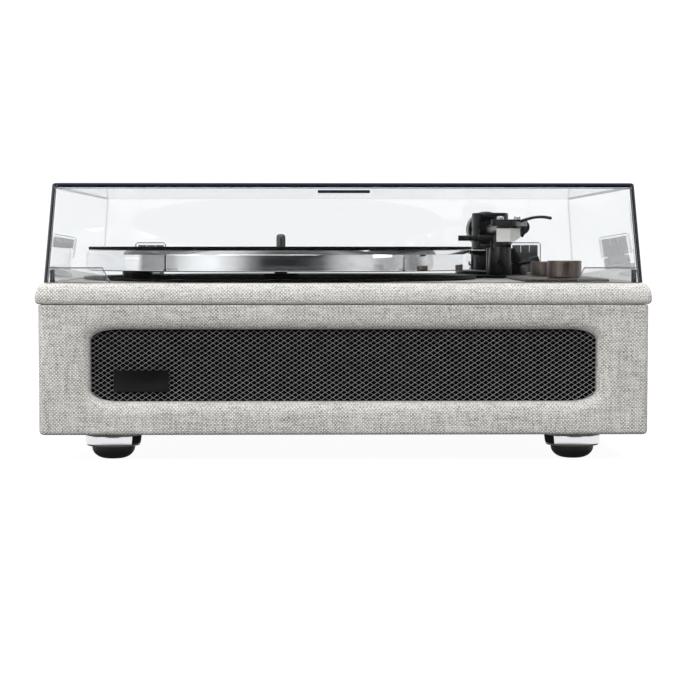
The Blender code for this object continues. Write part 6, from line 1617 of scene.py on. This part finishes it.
# %% Mould the cover
COVER_WALL = 3.0 * MM
COVER_CORNER = 5.0 * MM
COVER_ROUNDING = 1.8 * MM
COVER_DRAFT = radians(4.75)
COVER_FRONT = -167.0 * MM
COVER_BACK = 163.0 * MM
COVER_WIDTH = 415.0 * MM
INSIDE_ROUNDING = 0.9 * MM
RIM_BREAK = 0.2 * MM
CORNER_STEPS = 12
PAINTED_DARK_SHARE = 0.62
INNER_ROWS, FOOT_ROWS, OUTER_FOOT = 3, (5, 6), 7
PAINTED_DARK_SLOT, PAINTED_GREY_SLOT = 1, 2
cover_low, cover_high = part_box("dust_cover")
COVER_TALL = cover_high.z - cover_low.z


def cover_ring(height, inset, corner):
    shrink = 2 * (inset + height * tan(COVER_DRAFT))
    width, depth = COVER_WIDTH - shrink, COVER_BACK - COVER_FRONT - shrink
    middle_y = (COVER_FRONT + COVER_BACK) / 2
    return flat_ring(width, depth, corner, cover_low.z + height, middle_y, CORNER_STEPS)


inner_corner = COVER_CORNER - COVER_WALL
rings = []
for i in range(4):
    angle = pi / 2 * (1 - i / 3)
    inset = INSIDE_ROUNDING * (1 - cos(angle))
    height = COVER_TALL - COVER_WALL - INSIDE_ROUNDING * (1 - sin(angle))
    rings.append(cover_ring(height, COVER_WALL + inset, inner_corner - inset))
rings += [
    cover_ring(RIM_BREAK, COVER_WALL, inner_corner),
    cover_ring(0, COVER_WALL - RIM_BREAK, inner_corner + RIM_BREAK),
    cover_ring(0, RIM_BREAK, COVER_CORNER - RIM_BREAK),
    cover_ring(RIM_BREAK, 0, COVER_CORNER),
]
for angle in quarter(5):
    inset = COVER_ROUNDING * (1 - cos(angle))
    height = COVER_TALL - COVER_ROUNDING * (1 - sin(angle))
    rings.append(cover_ring(height, inset, COVER_CORNER - inset))
cover = mesh_object("cover_shell", skin_shape(rings))
dress(cover, "clear_acrylic", BODY_OF["dust_cover"], "dust_cover", smooth=2)
cover.data.materials.append(finishes["clear_edge_painted_dark"])
cover.data.materials.append(finishes["clear_edge_painted_grey"])
around = len(rings[0])
painted_edge_faces = 0
for row in range(len(rings) - 1):
    for i in range(around):
        face = cover.data.polygons[row * around + i]
        turn, step = divmod(i, CORNER_STEPS + 1)
        share = (step + 0.5) / CORNER_STEPS
        share = share if turn in (0, 2) else 1 - share
        on_corner = step < CORNER_STEPS and share < PAINTED_DARK_SHARE
        on_top = row > OUTER_FOOT or row < INNER_ROWS
        if on_corner or on_top or row in FOOT_ROWS:
            in_front = face.center.y < 0 and not (on_top and abs(face.normal.y) < 0.1)
            if in_front or row >= OUTER_FOOT:
                # Painted shade: a dark tint on edges in front, a paler grey on those behind.
                face.material_index = PAINTED_DARK_SLOT if in_front else PAINTED_GREY_SLOT
                painted_edge_faces += 1
print("the cover has", painted_edge_faces, "faces along its edges")

# %% [markdown]
# In front the cover has a small grip bar, and under its top edge a thin dark bar that is
# a painted reflection: the edge's own mirror image in the sheet. In its front corners are
# clear pads with a slant side, with a thin grey line painted along their edges. At the
# back are two open sockets that take the hinges' leaves, each with a thin grey line painted
# round it, and two rubber bumpers keep the cover's foot off the lid.

# %% Add the grip, the corner pads, the sockets and the bumpers
GRIP_WIDTH = 36.0 * MM
GRIP_HEIGHT = 2.1 * MM
GRIP_REACH = 1.6 * MM
GRIP_DROP = 5.0 * MM
EDGE_REFLECTION_RADIUS = 0.70 * MM
EDGE_REFLECTION_DROP = 2.50 * MM
EDGE_REFLECTION_END = 2.6 * MM
EDGE_REFLECTION_INSIDE = 1.45 * MM
PAD_WIDTH = 41.0 * MM
PAD_SLANT = 5.0 * MM
PAD_HEIGHT = 10.0 * MM
PAD_THICKNESS = 1.4 * MM
PAD_INSET = 1.8 * MM
PAD_PAINTED_LINE = 0.45 * MM
SOCKET_WIDTH = 26.0 * MM
SOCKET_WALL = 1.8 * MM
SOCKET_CORNER = 1.6 * MM
SOCKET_PAINTED_LINE = 0.45 * MM
SOCKET_BOTTOM = 135.4 * MM
SOCKET_TOP = 152.9 * MM
POCKET_DEPTH = 5.0 * MM


def fit(name, shape, finish, bevel=None, pocket=None):
    """A clear piece that rides on the cover."""
    piece = mesh_object(name, shape)
    if bevel:
        soften(piece, *bevel)
    if pocket:
        carve(piece, pocket)
    dress(piece, finish, BODY_OF["dust_cover"], slot="clear_acrylic")


def front_at(rise):
    """Where the leaning front wall is, at a height above the cover's foot."""
    return COVER_FRONT + rise * tan(COVER_DRAFT)


rise = COVER_TALL - GRIP_DROP
x, y, z = GRIP_WIDTH / 2, front_at(rise), cover_low.z + rise
bar = box_shape((-x, y - GRIP_REACH, z - GRIP_HEIGHT), (x, y - 0.05 * MM, z))
# The grip bar takes the dark edge tint, painted shade.
fit("cover_grip", bar, "clear_edge_painted_dark", (0.5, 3))
# A thin dark bar under the top edge paints the edge's reflection in the sheet.
rise = COVER_TALL - EDGE_REFLECTION_DROP
x = COVER_WIDTH / 2 - rise * tan(COVER_DRAFT) - EDGE_REFLECTION_END
line = [(a, front_at(rise) + EDGE_REFLECTION_INSIDE, cover_low.z + rise) for a in (-x, 0, x)]
fit("cover_edge_reflection", round_bar(line, EDGE_REFLECTION_RADIUS, 8), "clear_edge_painted_dark")

pad_y = COVER_FRONT + COVER_WALL + 1.0 * MM
foot = cover_low.z + 0.3 * MM
top = foot + PAD_HEIGHT
outer = COVER_WIDTH / 2 - COVER_WALL - PAD_INSET
inner = outer - PAD_WIDTH
for name, side in (("left", -1), ("right", 1)):
    edge = [(outer, top), (inner + PAD_SLANT, top), (inner, foot)]
    corners = [(side * x, z) for x, z in ([(outer, foot)] + edge)[::-side]]
    pad = aimed(plate_shape(corners, 0, PAD_THICKNESS), "-Y", (0, pad_y + PAD_THICKNESS, 0))
    fit(f"cover_corner_pad_{name}", pad, "clear_block", (0.25, 2))
    # A grey bar painted along the pad's top and slant edges, where its clear edge shows as a line.
    line = [(side * x, pad_y - 0.1 * MM, z) for x, z in edge]
    fit(f"cover_corner_painted_line_{name}", round_bar(line, PAD_PAINTED_LINE, 8), "clear_line_painted_grey")

half = SOCKET_WIDTH / 2
hinge_y = JOINT_AT["cover_hinge"].y
reach = POCKET_DEPTH / 2
for name in ("left", "right"):
    x = middle_of(f"hinge_leaf_{name}").x
    low = (x - half, COVER_BACK - 0.3 * MM, SOCKET_BOTTOM)
    socket = box_shape(low, (x + half, hinge_y + reach + SOCKET_WALL, SOCKET_TOP))
    low = (x - half + SOCKET_WALL, hinge_y - reach, SOCKET_BOTTOM - OVERRUN)
    high = (x + half - SOCKET_WALL, hinge_y + reach, SOCKET_TOP - SOCKET_WALL)
    fit(f"cover_socket_{name}", socket, "clear_socket", (0.8, 3), box_shape(low, high))
    # A grey bar painted round the socket's edge, where its clear edge shows as a line.
    line = [(-half, SOCKET_BOTTOM), (-half, SOCKET_TOP - SOCKET_CORNER)]
    line.append((SOCKET_CORNER - half, SOCKET_TOP))
    line += [(-a, b) for a, b in line[::-1]]
    line = [(x + a, COVER_BACK + 0.3 * MM, b) for a, b in line]
    fit(f"cover_socket_painted_line_{name}", round_bar(line, SOCKET_PAINTED_LINE, 8), "clear_line_painted_grey")
    softened(f"hinge_leaf_{name}", "hinge_plastic", 0.3, slot="black_plastic")
    softened(f"hinge_base_{name}", "hinge_plastic", 0.3, slot="black_plastic")
    softened(f"cover_bumper_{name}", "foot_rubber", 0.5, 3)
print("the cover's fittings are on")

# %% [markdown]
# ## Back panel
#
# The panel in the back wall carries two signal sockets, an inlet for the supply and a
# rocker switch. Sockets like these are turned brass barrels with a coloured ring that
# tells left from right, and small domed screws hold the panel.

# %% Fit the panel
INLET_BODY = 5.4 * MM
INLET_FLANGE = 7.0 * MM
INLET_LIP = 1.6 * MM
INLET_BORE = 2.8 * MM
INLET_DEPTH = 10.0 * MM
JACK_RADIUS = 4.2 * MM
JACK_BORE = 1.7 * MM
JACK_BORE_DEPTH = 8.0 * MM
JACK_SPACING = 18.0 * MM
BLOCK_DEPTH = 12.0 * MM
PANEL_SCREW = 2.6 * MM
PANEL_SCREW_INSET = (15.0 * MM, 10.6 * MM)
softened("rear_panel", "black_plastic", 0.3)
softened("power_switch", "black_plastic", 0.35)
softened("power_rocker", "rocker", 0.3)

low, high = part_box("power_inlet")
y, lip, inside = high.y, high.y - INLET_LIP, high.y - INLET_DEPTH
profile = [(0, low.y), (INLET_BODY - 0.4 * MM, low.y), (INLET_BODY, low.y + 0.4 * MM)]
profile += [(INLET_BODY, lip), (INLET_FLANGE, lip)]
profile += [(INLET_FLANGE, y - 0.4 * MM), (INLET_FLANGE - 0.4 * MM, y)]
profile += [(INLET_BORE + 0.3 * MM, y), (INLET_BORE, y - 0.3 * MM), (INLET_BORE, inside)]
profile += [(1.0 * MM, inside), (0.9 * MM, y - 3.0 * MM), (0, y - 2.4 * MM)]
place = ((low.x + high.x) / 2, 0, (low.z + high.z) / 2)
shape = aimed(turned_shape(profile, 64), "+Y", place)
standing_for(shape, "power_inlet_turned", "black_plastic", "power_inlet")

low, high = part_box("signal_sockets")
shape = box_shape((low.x, low.y, low.z), (high.x, low.y + BLOCK_DEPTH, high.z))
jack_block = mesh_object("signal_block", shape)
soften(jack_block, 0.5)
dress(jack_block, "black_plastic", "root", "signal_sockets")
y, foot = high.y, low.y + BLOCK_DEPTH - 0.5 * MM
ring_low, ring_high = JACK_BORE + 0.25 * MM, 2.95 * MM
barrel = [(0, foot), (JACK_RADIUS, foot), (JACK_RADIUS, y - 0.4 * MM)]
barrel += [(JACK_RADIUS - 0.4 * MM, y), (3.1 * MM, y), (3.0 * MM, y - 0.15 * MM)]
barrel += [(JACK_BORE + 0.2 * MM, y - 0.15 * MM), (JACK_BORE, y - 0.4 * MM)]
barrel += [(JACK_BORE, y - JACK_BORE_DEPTH), (0, y - JACK_BORE_DEPTH)]
band = [(ring_low, y - 0.15 * MM), (ring_high, y - 0.15 * MM)]
band += [(ring_high, y - 0.02 * MM), (ring_low, y - 0.02 * MM)]
for side, colour in ((-1, "ring_white"), (1, "ring_red")):
    place = ((low.x + high.x) / 2 + side * JACK_SPACING / 2, 0, (low.z + high.z) / 2)
    shape = aimed(turned_shape(barrel, 48), "+Y", place)
    dress(mesh_object(f"signal_barrel_{colour}", shape), "brass", "root")
    shape = aimed(turned_shape(band, 48, closed=True), "+Y", place)
    dress(mesh_object(f"signal_{colour}", shape), colour, "root", slot="black_plastic")

low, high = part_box("rear_panel")
middle_z, half_height = (low.z + high.z) / 2, (high.z - low.z) / 2
inset_x, inset_z = PANEL_SCREW_INSET
profile = [(PANEL_SCREW, 0)] + arc_points(0, 0, PANEL_SCREW, 0.15, pi / 2, 6)
profile = [(radius, rise * 0.45) for radius, rise in profile] + [(0, 1.1 * MM)]
domes = []
for side_x in (-1, 1):
    for side_z in (-1, 1):
        z = middle_z + side_z * (half_height - inset_z)
        place = (side_x * (high.x - inset_x), high.y - 0.02 * MM, z)
        domes.append(aimed(turned_shape(profile, 40), "+Y", place))
dress(mesh_object("rear_panel_screws", merged(domes)), "steel", "root")
print("the back panel is fitted")

# %% [markdown]
# ## The end
#
# Every CAD piece that is still shown has to have a finish from this file.

# %% Check that every CAD piece has a finish
shown = [(name, node) for name, node in nodes.items() if not node.hide_render]
plain = [name for name, node in shown if node.data.materials[0] not in finishes.values()]
print("CAD pieces without a finish of their own:", plain)
